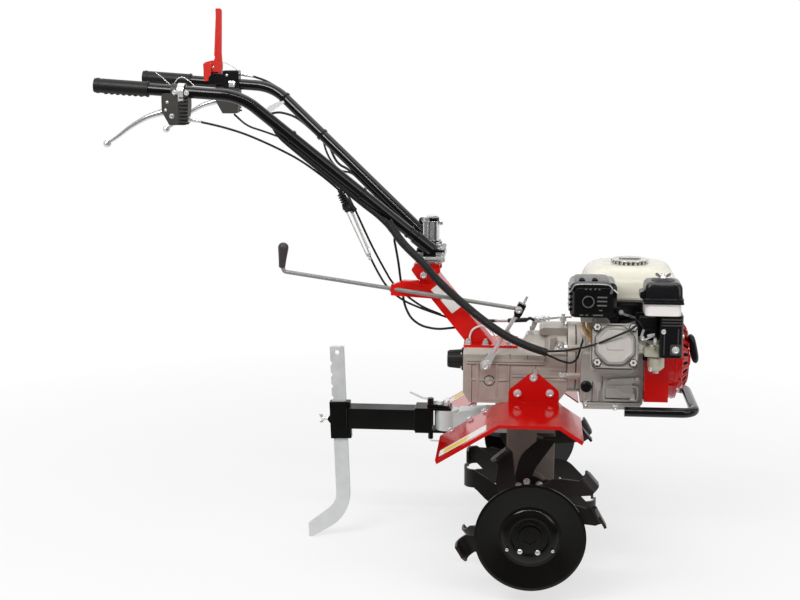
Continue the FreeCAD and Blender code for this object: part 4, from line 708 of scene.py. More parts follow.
def gear_change_details():
    """The dark joint of the gear rod, its bolt and clips, and the bolt of the arm's boss."""
    end = np.array((-32.0, -84.0, 466.0))
    tilt = math.radians(25)
    face = Face(end, (math.cos(tilt), 0, -math.sin(tilt)), (math.sin(tilt), 0, math.cos(tilt)),
                out=RIGHT)
    joint = Shape()
    joint.slab(rectangle(-10, 10, -15, 15, 2), -11, 11.5, face)
    joint.slab(rectangle(-7, 9, -21, -12, 2), -8, 8, face)
    on("shift_arm", joint, "gear_rod_joint", "black_plastic", 1.0)
    bolts = Shape()
    bolts.bolt(end + (-3, -11.5, 0), RIGHT, 12, 5, washer=9)
    bolts.bolt((-114, -94, 324), RIGHT, 14, 6, washer=11)
    bolts.turned([(0, 3.2), (24, 3.2)], end + (7, 0, 10), (0.42, 0, 0.9))
    on("shift_arm", bolts, "gear_change_bolts", "zinc_plate", 0.4)
    knob = Shape()
    profile = [(0, 6.2), (2.5, 8.0), (14, 8.9), (30, 10.6), (44, 12.4), (51, 12.9), (56, 11.9),
               (60, 9.0), (62.5, 4.2)]
    knob.turned(profile, (-616, -84, 559), (0.085, 0, 1), 32)
    knob = on("shift_knob", knob, "gear_knob", "black_plastic", material=KNOB)
    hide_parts("shift_knob")


# ---------------------------------------------------------------- hitch and stake
def hitch_details():
    """Locking lever over the clevis with its pins and nuts, the wing screw of the socket and its
    nut, the welds round the square bar, and the bracket's bolts."""
    z = 162.0
    top = z + 32.3
    lever = Shape()
    profile = [(-262, top), (-206, top), (-206, top + 5), (-236, top + 9), (-262, top + 9)]
    lever.slab(rounded(profile, 2), -14, 22)
    lever.turned([(0, 8), (26, 8), (27, 7)], (-254, -8, top - 4), UP)
    lever.turned([(0, 6.5), (22, 6.5), (23, 5)], (-254, 0, z - 32), DOWN)
    on("hitch_arm", lever, "hitch_lever_base", "black_paint", 0.8)
    handle = Shape()
    handle.swept(smooth_path([(-256, -8, top + 20), (-276, -10, top + 24), (-306, -12, top + 38)], 6),
                 rectangle(-5, 5, -1.8, 1.8, 1.2), flat=LEFT)
    handle.bolt((-232, -14, top + 8), UP, 12, 5, washer=8)
    handle.bolt((-214, 8, top + 5), UP, 10, 4, washer=7)
    handle.tube([(-252, -58, z - 42), (-228, -58, z - 43)], 2.0)
    on("hitch_arm", handle, "hitch_lever", "galvanised", 0.3)
    screw = Shape()
    screw.turned([(0, 4), (22, 4)], (-511, 0, 154), BACK)
    for tip in (11, -11):
        screw.slab(rounded([(-532, 151), (-527, 151), (-531, 154 + tip), (-541, 154 + tip)], 1.8),
                   -2, 2)
    screw.turned([(0, 6.5), (6, 5.5)], (-525, 0, 154), BACK)
    on("hitch_arm", screw, "wing_screw", "zinc_plate", 0.4)
    nut = Shape()
    nut.slab(rounded([(-519, 154), (-513, 145), (-506, 142), (-506, 166), (-513, 163)], 1.2), -8, 8)
    on("hitch_arm", nut, "wing_screw_nut", "black_paint", 0.6)
    welds = Shape()
    for x in (-466, -293, -250):
        corners = Face((x, 0, z), LEFT, UP).loop(rectangle(-27, 27, -27, 27), 0)
        for start, end in zip(corners, np.roll(corners, -1, 0)):
            welds.tube([start, end], 1.6)
    on("hitch_arm", welds, "hitch_welds", "black_paint")
    bracket = Shape()
    for side in (-1, 1):
        for x, low in ((-150, 140), (-110, 184)):
            bracket.bolt((x, side * 24, low), (0, side, 0), 13, 6, washer=9)
    on("hitch_bracket", bracket, "bracket_bolts", "zinc_plate", 0.4)


# ---------------------------------------------------------------- tines and discs
def tine_details():
    """Bolts that clamp the blades to their flanges, on a circle, one to each side of a blade, and
    the turned hubs of the side discs with their bolts."""
    bolt_circle, beside_blade = 36, 0.32          # radius in mm, angle in radians
    bolts = Shape()
    for y, turns in ((345, (106, 286)), (220, (7, 97, 187, 277)), (100, (32, 122, 212, 302))):
        for turn in np.radians(turns):
            for angle in (turn - beside_blade, turn + beside_blade):
                x, z = bolt_circle * math.cos(angle), bolt_circle * math.sin(angle)
                bolts.bolt((x, y + 6, z), LEFT, 13, 6, washer=9)
                bolts.bolt((x, y - 6, z), RIGHT, 13, 5, thread=4)
    bolts.mirrored()
    on("tine_reel_right", bolts, "tine_bolts", "zinc_plate", 0.4)
    on_disc, bright = Shape(), Shape()
    for side in (-1, 1):
        on_disc.turned([(-1, 66), (1.2, 64), (3.4, 58), (4.6, 50), (4.8, 45), (4.2, 43), (-1, 42)],
                       (0, side * DISC_Y, 0), (0, side, 0), 72)
        on_disc.turned([(-6, 24), (4, 24), (6, 22), (6, 15)], (0, side * DISC_Y, 0), (0, side, 0), 48)
        on_disc.collar((0, side * DISC_Y, 0), (0, side, 0), 34, 28, 4, 48)
        for x, z in ((-22.5, -34.8), (17.7, -36.2)):
            bright.dome((x, side * (DISC_Y + 3), z), (0, side, 0), 6.4, 0.5)
        for x, z in ((-52, -30), (52, -30)):
            bright.dome((x, side * (DISC_Y + 7.6), z), (0, side, 0), 4.0, 0.3)
    on("side_disc_right", on_disc, "disc_hub", "disc_paint", 0.5)
    on("side_disc_right", bright, "disc_bolts", "polished_alloy")


# ---------------------------------------------------------------- engine
def crankcase_details():
    """Ribs with dark lines painted as the shade in their creases, oil plug, drain bolt and the bolts
    round the crankcase.
    """
    plug = Shape()
    plug.turned([(0, 14), (4, 14), (6, 12.5), (11, 12.5), (13, 11)], (132, -92, 278), RIGHT)
    plug.slab(rectangle(122.5, 141.5, 275.6, 280.4, 1.0), 104, 109)
    on("engine_crankcase", plug, "oil_plug", "black_plastic", 0.6)
    bolts = Shape()
    bolts.bolt((202.6, -100, 229), RIGHT, 12, 5, washer=8)
    bolts.bolt((243.5, -98, 252.4), RIGHT, 11, 5, washer=7)
    for x, z in ((131, 236), (254, 300), (140, 384)):
        bolts.bolt((x, -98, z), RIGHT, 9, 4, washer=6)
    for x in (134, 184, 240):
        for side in (-1, 1):
            bolts.bolt((x, side * 88, 235), UP, 13, 7, washer=10, thread=4)
    bolts.mirrored()
    on("engine_crankcase", bolts, "crankcase_bolts", "zinc_plate", 0.4)
    ribs, seams = Shape(), Shape()
    for x in (128, 160, 266):
        ribs.slab(rectangle(x - 2, x + 2, 236, 268, 1), 90, 98)
    ribs.slab(rectangle(122, 266, 235, 240, 2), 90, 102)
    ribs.ridge(rectangle(172, 258, 244, 284, 8), 4.5, 97, 101.5)
    ribs.slab(rounded([(180, 252), (250, 252), (250, 262), (214, 266), (206, 278), (180, 278)], 3),
              96, 100)
    ribs.slab(rectangle(152, 168, 268, 292, 3), 90, 97)
    ribs.slab(rounded([(180, 290), (262, 290), (262, 304), (190, 300)], 3), 96, 100.5)
    # dark lines at the ribs' feet: painted shade in the creases
    seams.ridge(rectangle(175.5, 254.5, 247.5, 280.5, 6), 1.6, 97, 98.5)
    seams.slab(rectangle(122, 262, 240, 241.6), 97, 98.6)
    seams.slab(rectangle(146, 148, 240, 290), 91, 92.6)
    seams.slab(rectangle(170, 171.6, 286, 306), 97.5, 98.6)
    ribs.mirrored()
    seams.mirrored()
    on("engine_crankcase", ribs, "crankcase_ribs", "engine_alloy", 0.9)
    on("engine_crankcase", seams, "crankcase_crease_shade", "engine_alloy", material=DARK_JOINT_AND_PAINTED_SHADE)


def valve_cover_details():
    """Pressed octagon of the valve cover, whose rows shrink while they climb half a cosine, its rim,
    and its corner bolts, whose lobed outline is radius = 7.6 + 0.8 * cos(6 * turn); dark rings and
    sockets painted as the shade in the bolts' recesses, and dark bands painted as the shade in the
    crevices at the cover's foot and round the octagon."""
    lean = math.radians(21)
    face = Face((192, 0, CRANK_Z), AHEAD, (0, math.sin(lean), math.cos(lean)),
                out=(0, -math.cos(lean), math.sin(lean)))
    octagon = np.array([(-46, -20), (-20, -46), (20, -46), (46, -20), (46, 20), (20, 46), (-20, 46),
                        (-46, 20)], float)
    outline = rounded(octagon, 7)
    rise = 0.5 - 0.5 * np.cos(np.linspace(0, np.pi, 6))
    rows = [face.loop(outline * scale, 217.5 + 5.5 * climb)
            for scale, climb in zip(np.linspace(1.0, 0.86, 6), rise)]
    rows += [face.loop(outline * 0.8, 221.0), face.loop(outline * 0.3, 220.6)]
    raised = Shape()
    raised.skin(rows)
    raised.ridge(rectangle(-52.5, 52.5, -52.5, 52.5, 14), 3.4, 206, 212, face)
    raised.slab(rectangle(-20, 20, -12, 12, 5), 219, 222.4, face)
    on("valve_cover", raised, "valve_cover_pressing", "engine_alloy", 0.6, material=COVER)
    bolts, sockets = Shape(), Shape()
    turn = np.linspace(0, 2 * np.pi, 48, endpoint=False)
    for u in (-42, 42):
        for v in (-42, 42):
            # dark ring round each bolt's foot and dark socket in its head: painted shade in the
            # recesses
            sockets.slab(circle(u, v, 10.5), 217, 218.6, face)
            bolts.slab(circle(u, v, 7.6 + 0.8 * np.cos(6 * turn), 48), 218.5, 225, face)
            sockets.turned([(0, 3.6), (0.5, 3.4)], face.at(u, v, 225), face.out, 6)
    on("valve_cover", bolts, "valve_cover_bolts", "engine_alloy", 0.4)
    on("valve_cover", sockets, "valve_cover_socket_shade", "engine_alloy", material=DARK_JOINT_AND_PAINTED_SHADE)
    # dark bands at the cover's foot and round the octagon: painted shade in the crevices
    seal = Shape()
    seal.ridge(rectangle(-54, 54, -54, 54, 15), 6, 191.5, 193.5, face)
    seal.ridge(rounded(octagon * 1.03, 7), 1.6, 217, 218.5, face)
    on("engine_cylinder", seal, "valve_cover_crevice_shade", "black_rubber", material=DARK_JOINT_AND_PAINTED_SHADE)


def shroud_details():
    """Vent holes on a circle about the fan's axis, dark discs painted as the shade inside them, and the
    bolts and rim beads of the shroud.
    """
    holes = Shape()
    for turn in np.radians(np.arange(-70, 251, 16.0)):
        spot = (352.3, 98 * math.cos(turn), FAN_Z + 98 * math.sin(turn))
        # each vent a dark disc painted as the shade inside the hole
        holes.turned([(0, 3.4), (0.5, 3.2)], spot, AHEAD, 14)
    on("fan_shroud", holes, "shroud_vents", "black_rubber", material=PAINTED_HOLE_SHADE)
    bolts = Shape()
    for z in (405, 271):
        for y in (80, -80):
            bolts.bolt((351, y, z), AHEAD, 10, 5, washer=8)
    on("fan_shroud", bolts, "shroud_bolts", "zinc_plate", 0.4)
    beads = Shape()
    for x in (279, 343):
        beads.collar((x, 0, FAN_Z), AHEAD, 107.4, 104, 4, 96)
    on("fan_shroud", beads, "shroud_beads", "red_paint", 1.0)


def recoil_details():
    """Vent openings, dark patches painted as the shade inside them, and ribs up the recoil cover's
    cone, a face for each turn of 15 degrees with v along the cone, and its turned pressing and bolts."""
    vents, ribs = Shape(), Shape()
    foot, crest = np.array((362.0, 92.0)), np.array((379.0, 68.0))
    length = np.linalg.norm(crest - foot)
    for turn in np.radians(np.arange(0, 360, 15.0)):
        out = np.array((0, math.cos(turn), math.sin(turn)))
        along = np.array(((crest - foot)[0], 0, 0)) + out * (crest - foot)[1]
        across = np.array((0, -math.sin(turn), math.cos(turn)))
        face = Face((foot[0], 0, FAN_Z) + foot[1] * out, across, along / length)
        # dark patch painted as the shade inside each opening
        vents.slab(rounded([(-4.4, 5), (4.4, 5), (3.4, length - 4), (-3.4, length - 4)], 2.4),
                   0.0, 0.5, face)
        ribs.slab(rounded([(9.6, 3), (12.4, 3), (10, length - 2), (7.8, length - 2)], 1),
                  -1.0, 1.6, face)
    on("recoil_cover", vents, "recoil_vents", "black_rubber", material=PAINTED_HOLE_SHADE)
    ribs.collar((377, 0, FAN_Z), AHEAD, 66, 60, 4.2, 64)
    ribs.collar((377, 0, FAN_Z), AHEAD, 30, 26, 4.2, 48)
    ribs.turned([(0, 50), (3.4, 48), (4.2, 44)], (377, 0, FAN_Z), AHEAD, 48)
    ribs.turned([(0, 16), (4, 15), (5.5, 12)], (380, -42, FAN_Z), AHEAD, 32)
    on("recoil_cover", ribs, "recoil_pressing", "red_paint", 0.6)
    bolts = Shape()
    for turn in np.radians([45, 135, 225, 315]):
        spot = (361.5, 86 * math.cos(turn), FAN_Z + 86 * math.sin(turn))
        bolts.bolt(spot, AHEAD, 10, 4, washer=7)
    on("recoil_cover", bolts, "recoil_bolts", "zinc_plate", 0.3)


def pull_grip():
    """The grip of the pull cord, an oval section swept up the cover, with its width times
    sqrt(1 - t^6), and the cord's end."""
    low, high = span("recoil_handle")
    middle = (low + high) / 2
    t = np.linspace(-1, 1, 25)
    swell = np.sqrt(np.clip(1 - t ** 6, 0.06, 1))
    line = np.stack([392 + 8 * t, np.full(25, -42.0), middle[2] - t * 36], -1)
    width = np.stack([8.5 + 1.5 * (1 - t ** 2), np.full(25, 15.0)], -1) * swell[:, None]
    pull = Shape()
    pull.swept(line, circle(0, 0, 1.0, 28)[None] * width[:, None], flat=AHEAD)
    pull = on("recoil_handle", pull, "pull_grip", "black_plastic")
    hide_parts("recoil_handle")
    cord = Shape()
    cord.turned([(0, 2.4), (14, 2.4)], (379, middle[1], middle[2]), AHEAD, 14)
    on("recoil_cover", cord, "pull_cord", "white_plastic")


def muffler_can():
    """The exhaust box, a skin over its outline shrunk at both faces, with its outlet, the slots of
    its guard and the teeth up its edge."""
    x0, x1, z0, z1 = 84.5, 194.0, 470.0, 554.0
    back, front, chamfer = -92.0, MUFFLER_FRONT, 15.0
    outline = rectangle(x0, x1, z0, z1, 16, 6)
    centre = np.array(((x0 + x1) / 2, (z0 + z1) / 2))
    shrunk = centre + (outline - centre) * (1 - chamfer / np.array((x1 - x0, z1 - z0)) * 1.5)
    can = Shape()
    can.skin([RIGHT_FACE.loop(line, -y) for line, y in ((shrunk, back), (outline, back - 8),
                                                        (outline, front + chamfer), (shrunk, front))])
    can.collar((OUTLET[0], front, OUTLET[1]), RIGHT, 14, 9.5, 6, 40)
    can = on("muffler", can, "muffler_can", "black_paint", 1.6)
    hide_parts("muffler")
    slots = Shape()
    face = Face((0, front, 0), AHEAD, UP)
    flush, proud = 0.0, 1.3
    for z in (522, 512.5, 502.5):
        slots.slab(rectangle(147, 170.5, z - 1.7, z + 1.7, 1.5), flush, proud, face)
    slots.slab(rectangle(152, 160, 489.6, 492.4, 1.2), flush, proud, face)
    for a, b in ((107, 116), (121, 127), (138, 161)):
        slots.slab(rectangle(a, b, 477.8, 480.8, 1.2), flush, proud, face)
    for x in (121, 131, 142, 152):
        slots.slab(circle(x, 541, 2.0, 16), flush, proud, face)
    slots.slab(rounded([(176, 530), (182, 531), (185, 542), (179, 544)], 1.5), -3.0, 1.0, face)
    on("muffler", slots, "muffler_slots", "engine_alloy", 0.3, material=GUARD)
    teeth = Shape()
    edge = Face((x0, 0, 0), BACK, UP, out=RIGHT)
    for z in (539, 527, 514, 502, 490):
        teeth.slab(rounded([(-1, z - 3.6), (3.0, z - 2.2), (3.0, z + 2.2), (-1, z + 3.6)], 0.8),
                   120, 196, edge)
    teeth.slab(rectangle(94, 186, 474, 550, 12), -5, -0.6, face)
    on("muffler", teeth, "muffler_guard", "black_paint", 0.5)


def muffler_shield():
    """The shield over the box: a bent line of points (u, z) repeated at each y of its rows and lifted
    by its row, with a skin 1.4 under it, its rim, a bright tube that stands for the highlight along its
    front edge, its openings and the inside of the outlet, dark patches painted as their shade, and the
    outlet's ring."""
    shield = Shape()
    u = np.array([84.0, 90, 98, 104, 136, 162, 172, 182, 193.5])
    z = np.array([537, 546, 556.5, 558, 558.5, 558.5, 557, 547, 536])
    y = np.array([-203.5, -196.0, -150.0, -104.0, -96.0])
    lift = np.array([-5.0, 0.0, 1.2, 0.0, -3.0])
    lower = np.stack([np.broadcast_to(u, (5, 9)), np.broadcast_to(y[:, None], (5, 9)),
                      z + lift[:, None]], -1)
    shield.wall(lower - (0, 0, 1.4), lower)
    on("muffler", shield, "muffler_shield", "engine_alloy", 0.3, material=SHIELD)
    rim = Shape()
    # bright tube along the front edge: a painted highlight on the shield's bevel
    rim.tube([(83.5, -204, 533), (90, -204, 542), (98, -204, 551), (136, -204, 552.5),
              (172, -204, 551), (183, -204, 542), (194, -204, 532)], 1.0, 8, 4)
    on("muffler", rim, "shield_rim_highlight", "polished_alloy")
    notch = Shape()
    # dark patches painted as the shade in the shield's openings and inside the outlet
    for x in (104, 134):
        notch.slab(rounded([(x, -196), (x + 15, -196), (x + 11, -168), (x + 4, -168)], 2),
                   556, 561.2, PLAN_FACE)
    notch.turned([(0, 9.4), (1, 9.4)], (OUTLET[0], MUFFLER_FRONT - 0.2, OUTLET[1]), RIGHT, 40)
    on("muffler", notch, "muffler_openings", "black_paint", material=PAINTED_HOLE_SHADE)
    ring = Shape()
    ring.collar((OUTLET[0], MUFFLER_FRONT - 5.2, OUTLET[1]), RIGHT, 14.3, 12.0, 1.6, 48)
    on("muffler", ring, "muffler_outlet", "engine_alloy", 0.3, material=GUARD)


def manifold_and_plate():
    """Dull metal heat plate by the ports, the black control plate with its springs, whose upper part is
    a dark sheet standing for the painted shade on the tank's lower half, and the end of the clutch
    cable."""
    plate = Shape()
    plate.slab(rounded([(133, 414), (186, 418), (184, 446), (170, 462), (140, 462), (130, 440)], 8),
               118, 121)
    plate.slab(rectangle(112, 140, 452, 472, 5), 132, 160)
    on("engine_cylinder", plate, "heat_plate", "engine_alloy", 0.8)
    bolts = Shape()
    for x, z in ((144, 452), (172, 430)):
        bolts.bolt((x, -121, z), RIGHT, 11, 6, washer=8)
    on("engine_cylinder", bolts, "heat_plate_bolts", "zinc_plate", 0.3)
    black = Shape()
    # black plate up to z 488 in front of the tank's lower half: partly control plate, partly a dark
    # sheet for the painted shade on the tank
    black.slab(rounded([(150, 409), (264, 409), (264, 488), (196, 488), (196, 470), (150, 462)], 4),
               78, 81)
    black.slab(rectangle(206, 250, 462, 484, 6), 81, 90)
    black.slab(rectangle(208, 256, 420, 446, 5), 81, 99)
    black.slab(rectangle(196, 226, 452, 476, 5), 81, 93)
    on("tank_bracket", black, "control_plate_and_tank_shade", "black_plastic", 0.8)
    springs = Shape()
    springs.coil((206, -104, 432), (1, 0, 0.25), 3.6, 0.8, 12, 42)
    springs.coil((214, -98, 462), (1, -0.2, -0.3), 3.0, 0.7, 10, 34)
    for route in ([(196, -102, 428), (206, -104, 432)],
                  [(247, -104, 442), (262, -112, 448), (270, -118, 452)]):
        springs.tube(route, 1.3)
    for place in ((232, -99, 433), (211, -93, 464)):
        springs.bolt(place, RIGHT, 9, 4, washer=6)
    on("tank_bracket", springs, "governor_springs", "zinc_plate", 0.2)
    end = Shape()
    end.turned([(0, 3.6), (22, 3.6), (24, 2.2)], (124.5, -103.5, 404), (0.1, 0, -1))
    end.bolt((125, -100, 405), RIGHT, 10, 5, washer=7)
    on("engine_cylinder", end, "cable_terminal", "zinc_plate", 0.2)


def cleaner_details():
    """The cleaner's hood, nine rounded rectangles drawn in by a set inset at a set share of its
    height, with its wing nut and washer, body ribs, side clips and bolts."""
    low, high = span("air_cleaner_cover")
    x, y, top = (low[0] + high[0]) / 2, (low[1] + high[1]) / 2, high[2]
    rise = np.array([0.0, 0.01, 0.17, 0.19, 0.3, 0.74, 0.9, 0.97, 1.0])
    inset = np.array([1.2, 0.0, 0.0, 2.4, 2.8, 4.0, 7.0, 11.5, 16.0])
    hood = Shape()
    hood.skin([PLAN_FACE.loop(rectangle(low[0] + i, high[0] - i, low[1] + i, high[1] - i, 12),
                              low[2] + h * (top - low[2])) for i, h in zip(inset, rise)])
    hood = on("air_cleaner_cover", hood, "cleaner_hood", "black_plastic", 0.8)
    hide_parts("air_cleaner_cover")
    seat = Shape()
    seat.turned([(-0.5, 28), (1.2, 27), (2.4, 20), (3.2, 12), (3.6, 8)], (x, y, top), UP, 40)
    on("air_cleaner_cover", seat, "cleaner_washer", "black_rubber")
    nut = Shape()
    nut.turned([(0, 7.5), (2, 8.2), (8, 6.2), (10, 4.6), (14, 3.6)], (x, y, top + 3), UP)
    for side in (-1, 1):
        nut.slab(rounded([(side * 5, 2), (side * 17, 7), (side * 19, 14), (side * 13, 15),
                          (side * 5, 8)], 2.0), -1.4, 1.4, Face((x, y, top + 3), AHEAD, UP))
    on("air_cleaner_cover", nut, "cleaner_wing_nut", "polished_alloy", 0.4)
    clip = Shape()
    clip.slab(rounded([(247, 519), (256, 516), (256, 536), (247, 533)], 2.5), 150, 190)
    clip.slab(rectangle(255, 348, 507, 513, 2), 113, 206)
    on("air_cleaner_cover", clip, "cleaner_clip", "black_plastic", 0.8)
    low, high = span("air_cleaner_body")
    ribs = Shape()
    for z in (455, 462, 469):
        ribs.slab(rectangle(low[0] + 4, high[0] - 4, z - 1.6, z + 1.6, 1.2), -low[1] - 2, -low[1] + 1.6)
    for u in (low[0] + 10, high[0] - 12):
        ribs.slab(rectangle(u - 1.5, u + 1.5, low[2] + 8, 448), -low[1] - 2, -low[1] + 1.4)
    ribs.slab(rectangle(320, 346, 384, 410, 5), -low[1] - 2, -low[1] + 3)
    on("air_cleaner_body", ribs, "cleaner_body_ribs", "grey_plastic", 0.6)
    bolt = Shape()
    bolt.bolt((333, low[1] - 3, 397), RIGHT, 12, 6, washer=9)
    bolt.bolt((304, low[1], 440), RIGHT, 9, 4, washer=6)
    on("air_cleaner_body", bolt, "cleaner_bolts", "zinc_plate", 0.3)


def carburettor_details():
    """Levers, spring, screws and bowl ring of the carburettor, and its dark plates and hoses, the plate
    behind the bowl being painted shade.
    """
    y = span("carburettor")[0][1]
    zinc = Shape()
    zinc.slab(rounded([(251, 420), (256, 418), (262, 440), (257, 442)], 2), -y + 1, -y + 3)
    zinc.slab(rounded([(262, 414), (282, 424), (280, 428), (260, 418)], 2), -y + 5, -y + 7)
    zinc.slab(rectangle(283, 291, 404, 420, 2), -y - 8, -y + 1)
    zinc.bolt((257, y - 2, 420), RIGHT, 8, 5, washer=5)
    zinc.bolt((287, y - 1, 414), RIGHT, 7, 3, washer=4)
    zinc.bolt((252, y, 398), RIGHT, 10, 5, washer=7)
    zinc.coil((268, y - 7, 426), (1, 0, 0.2), 3.6, 0.7, 8, 18)
    zinc.bolt((293, -146, 336), DOWN, 14, 6, washer=9)
    zinc.bolt((278, -160, 342), (0.3, -1, -0.2), 8, 6, washer=5)
    on("carburettor", zinc, "carburettor_levers", "zinc_plate", 0.2)
    brass = Shape()
    brass.turned([(0, 3.6), (6, 3.6), (7, 4.8), (11, 4.8)], (270, y + 6, 404), RIGHT)
    brass.turned([(0, 3.2), (9, 3.2)], (288, y + 4, 394), RIGHT)
    brass.collar((293, -146, 368), UP, 21.6, 18, 4.5, 48)
    on("carburettor", brass, "carburettor_screws", "zinc_plate", 0.3, material=BRASS)
    dark = Shape()
    dark.slab(rounded([(243, 414), (302, 410), (302, 472), (243, 472)], 4), 122, 130)
    dark.slab(rounded([(250, 444), (290, 446), (290, 466), (250, 466)], 3), 130, 158)
    dark.slab(rounded([(262, 426), (292, 430), (292, 444), (262, 444)], 3), 130, 150)
    # dark plate behind the bowl: painted shade
    dark.slab(rectangle(264, 302, 352, 414, 3), 117, 120)
    dark.tube([(260, y - 3, 440), (252, y + 12, 452), (240, y + 40, 458), (228, y + 62, 460)], 1.6)
    dark.tube([(293, -125, 392), (290, -116, 418), (276, -104, 446), (262, -92, 470)], 4.2)
    on("carburettor", dark, "choke_parts_and_bowl_shade", "black_plastic", 0.8)


def tank_details():
    """The fuel cap, whose radius is radius - inset - 1.6 * depth wherever cos(24 * turn) is under
    -0.2, its seal, and the clamp bolts of the tank."""
    low, high = span("fuel_cap")
    x, y = (low[0] + high[0]) / 2, (low[1] + high[1]) / 2
    radius = (high[0] - low[0]) / 2
    turn = np.linspace(0, 2 * np.pi, 240, endpoint=False)
    reach = np.array([0.0, 1.0, 7.5, 9.5, 10.0, 10.0])
    inset = np.array([1.2, 0.0, 0.0, 1.6, 5.0, 16.0])[:, None]
    depth = np.array([1.0, 1.0, 1.0, 0.5, 0.0, 0.0])[:, None]
    wave = radius - inset - depth * 1.6 * (np.cos(24 * turn) < -0.2)
    cap = Shape()
    cap.skin([PLAN_FACE.loop(loop, low[2] + climb)
              for loop, climb in zip(circle(x, y, wave, 240), reach)])
    cap.slab(rectangle(x - 27, x + 27, y - 5, y + 5, 4), low[2] + 9, low[2] + 13, PLAN_FACE)
    cap = on("fuel_cap", cap, "fuel_cap_turned", "polished_alloy", material=CAP)
    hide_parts("fuel_cap")
    ring = Shape()
    ring.collar((x, y, low[2] - 0.5), UP, radius - 1.4, radius - 8, 8.0, 64)
    on("fuel_cap", ring, "cap_seal", "grey_plastic")
    low, high = span("fuel_tank")
    bolts = Shape()
    for y in (low[1] + 14, high[1] - 14):
        for x in (low[0] + 16, high[0] - 16):
            bolts.bolt((x, y, 495), UP, 9, 4, washer=6)
    on("fuel_tank", bolts, "tank_bolts", "zinc_plate", 0.3)


def bumper_details():
    """Bolts of the bumper's feet."""
    bolts = Shape()
    for y in (60, -60):
        for x in (240, 262):
            bolts.bolt((x, y, 236), UP, 12, 5, washer=8)
    on("front_bumper", bolts, "bumper_bolts", "zinc_plate", 0.3)


# ---------------------------------------------------------------- tower and clamp
def tower_details():
    """Chrome bolts and sleeve, black plate and turned pin at the bars' foot, two thin dark lines
    painted on the sleeve as the shade in its slots, and the toothed discs, whose radius is 31.2 + 0.9 *
    the sign of sin(30 * turn)."""
    bolts = Shape()
    bolts.turned([(0, 6.8), (52, 6.8)], (-266.5, -20, 620), UP)
    bolts.turned([(0, 9.5), (2.5, 9.5)], (-266.5, -20, 668), UP)
    bolts.hexagon((-266.5, -20, 670.5), UP, 16, 10)
    bolts.turned([(0, 17.8), (48, 17.8), (49, 16)], (SWIVEL_X, 0, 620), UP, 48)
    bolts.turned([(0, 15), (6, 15), (7, 12)], (SWIVEL_X, 0, 675), UP, 6)
    for x, y in ((-236, 30), (-236, -30)):
        bolts.bolt((x, y, 604), UP, 13, 8, washer=9, thread=4)
    bolts.bolt((-233.5, -4, 664), (1, 0, 0.1), 11, 6, washer=7)
    on("handle_clamp", bolts, "clamp_bolts", "polished_alloy", 0.4)
    black = Shape()
    black.turned([(0, 10), (8, 9), (14, 6), (16, 4)], (-276, 4, 660), (-0.2, 0, 1))
    black.slab(rectangle(-288, -219, -52, 52, 6), 597, 603.5, PLAN_FACE)
    # two thin dark lines on the sleeve: painted shade in its slots
    for x in (-259.4, -243.5):
        black.block((x - 0.9, x + 0.9), (-18.8, -14), (622, 668))
    on("handle_clamp", black, "clamp_plate_and_slit_shade", "black_paint", 0.6)
    pale = Shape()
    pale.slab(rectangle(-290.5, -218.5, -68.5, 68.5, 4), 581.8, 588.0, PLAN_FACE)
    pale.slab(rectangle(-284, -224, -40, 40, 4), 587, 597, PLAN_FACE)
    turn = np.linspace(0, 2 * np.pi, 180, endpoint=False)
    outline = circle(SWIVEL_X, 0, 31.2 + 0.9 * np.sign(np.sin(30 * turn)), 180)
    pale.slab(outline, 574.8, 582.0, PLAN_FACE)
    pale.tube([(-222.6, -32, 587), (-219, -32, 598), (-216.5, -32, 616)], 1.6)
    on("handle_clamp", pale, "upper_teeth", "zinc_plate", 0.3)
    teeth = Shape()
    teeth.slab(outline, 566.2, 573.6, PLAN_FACE)
    on("tilt_head", teeth, "lower_teeth", "zinc_plate")
    head = Shape()
    for side in (-1, 1):
        head.bolt((-270, side * 49, 540), (0, side, 0), 15, 6)
    on("tilt_head", head, "tilt_bolts", "zinc_plate", 0.4)


# ---------------------------------------------------------------- hand controls
BAR_Y = 215.0
BAR_FOOT = np.array((-254.0, 50.0, 606.0))
BAR_BEND = np.array((-683.0, BAR_Y, 984.0))
BAR_SLOPE = -23.0 / 340.0
UNDER_BAR = np.array((10.8, 4.0, 12.4))
GRIP_START, GRIP_LENGTH, GRIP_RADIUS = -899.0, 124, 16.9
HOUSING_SIDE = 232.5
HOUSINGS = ((-1, "right", 0.0), (1, "left", 33.0))      # the left one sits further ahead


def on_bar(side, share):
    """Point on a bar between its bend and its foot: bend + share * (foot - bend)."""
    return (BAR_BEND + share * (BAR_FOOT - BAR_BEND)) * (1, side, 1)


def bar_top(x):
    """Height of the middle of a level bar: that of the bend + slope * (x - the bend's x)."""
    return BAR_BEND[2] + BAR_SLOPE * (x - BAR_BEND[0])


def grip_details():
    """The sleeve of each grip, turned about its bar: radius = 16.9 + 0.12 * cos(2 pi reach / 4),
    with a lip at its start, a bead at its end and a groove before that; and nubs under it."""
    for side, name in SIDES:
        start = np.array((GRIP_START, side * BAR_Y, bar_top(GRIP_START)))
        along = np.array((-1.0, 0, -BAR_SLOPE))
        along /= np.linalg.norm(along)
        reach = np.linspace(0, GRIP_LENGTH, GRIP_LENGTH + 1)
        radius = (GRIP_RADIUS + 0.12 * np.cos(reach * 2 * np.pi / 4.0) * (reach > 10) * (reach < 112)
                  + 1.6 * (reach < 5) + 0.9 * (reach > 116) - 0.8 * (np.abs(reach - 113) < 1.5))
        sleeve = Shape()
        sleeve.turned(np.stack([reach, radius], -1), start, along, 48)
        on("grip_" + name, sleeve, "grip_sleeve_" + name, "black_rubber", 0.3)
        nubs = Shape()
        for place in np.arange(18, 108, 14.0):
            nubs.dome(start + along * place + (0, 0, -15.6), DOWN, 5.0, 0.5)
        on("grip_" + name, nubs, "grip_nubs_" + name, "black_rubber")


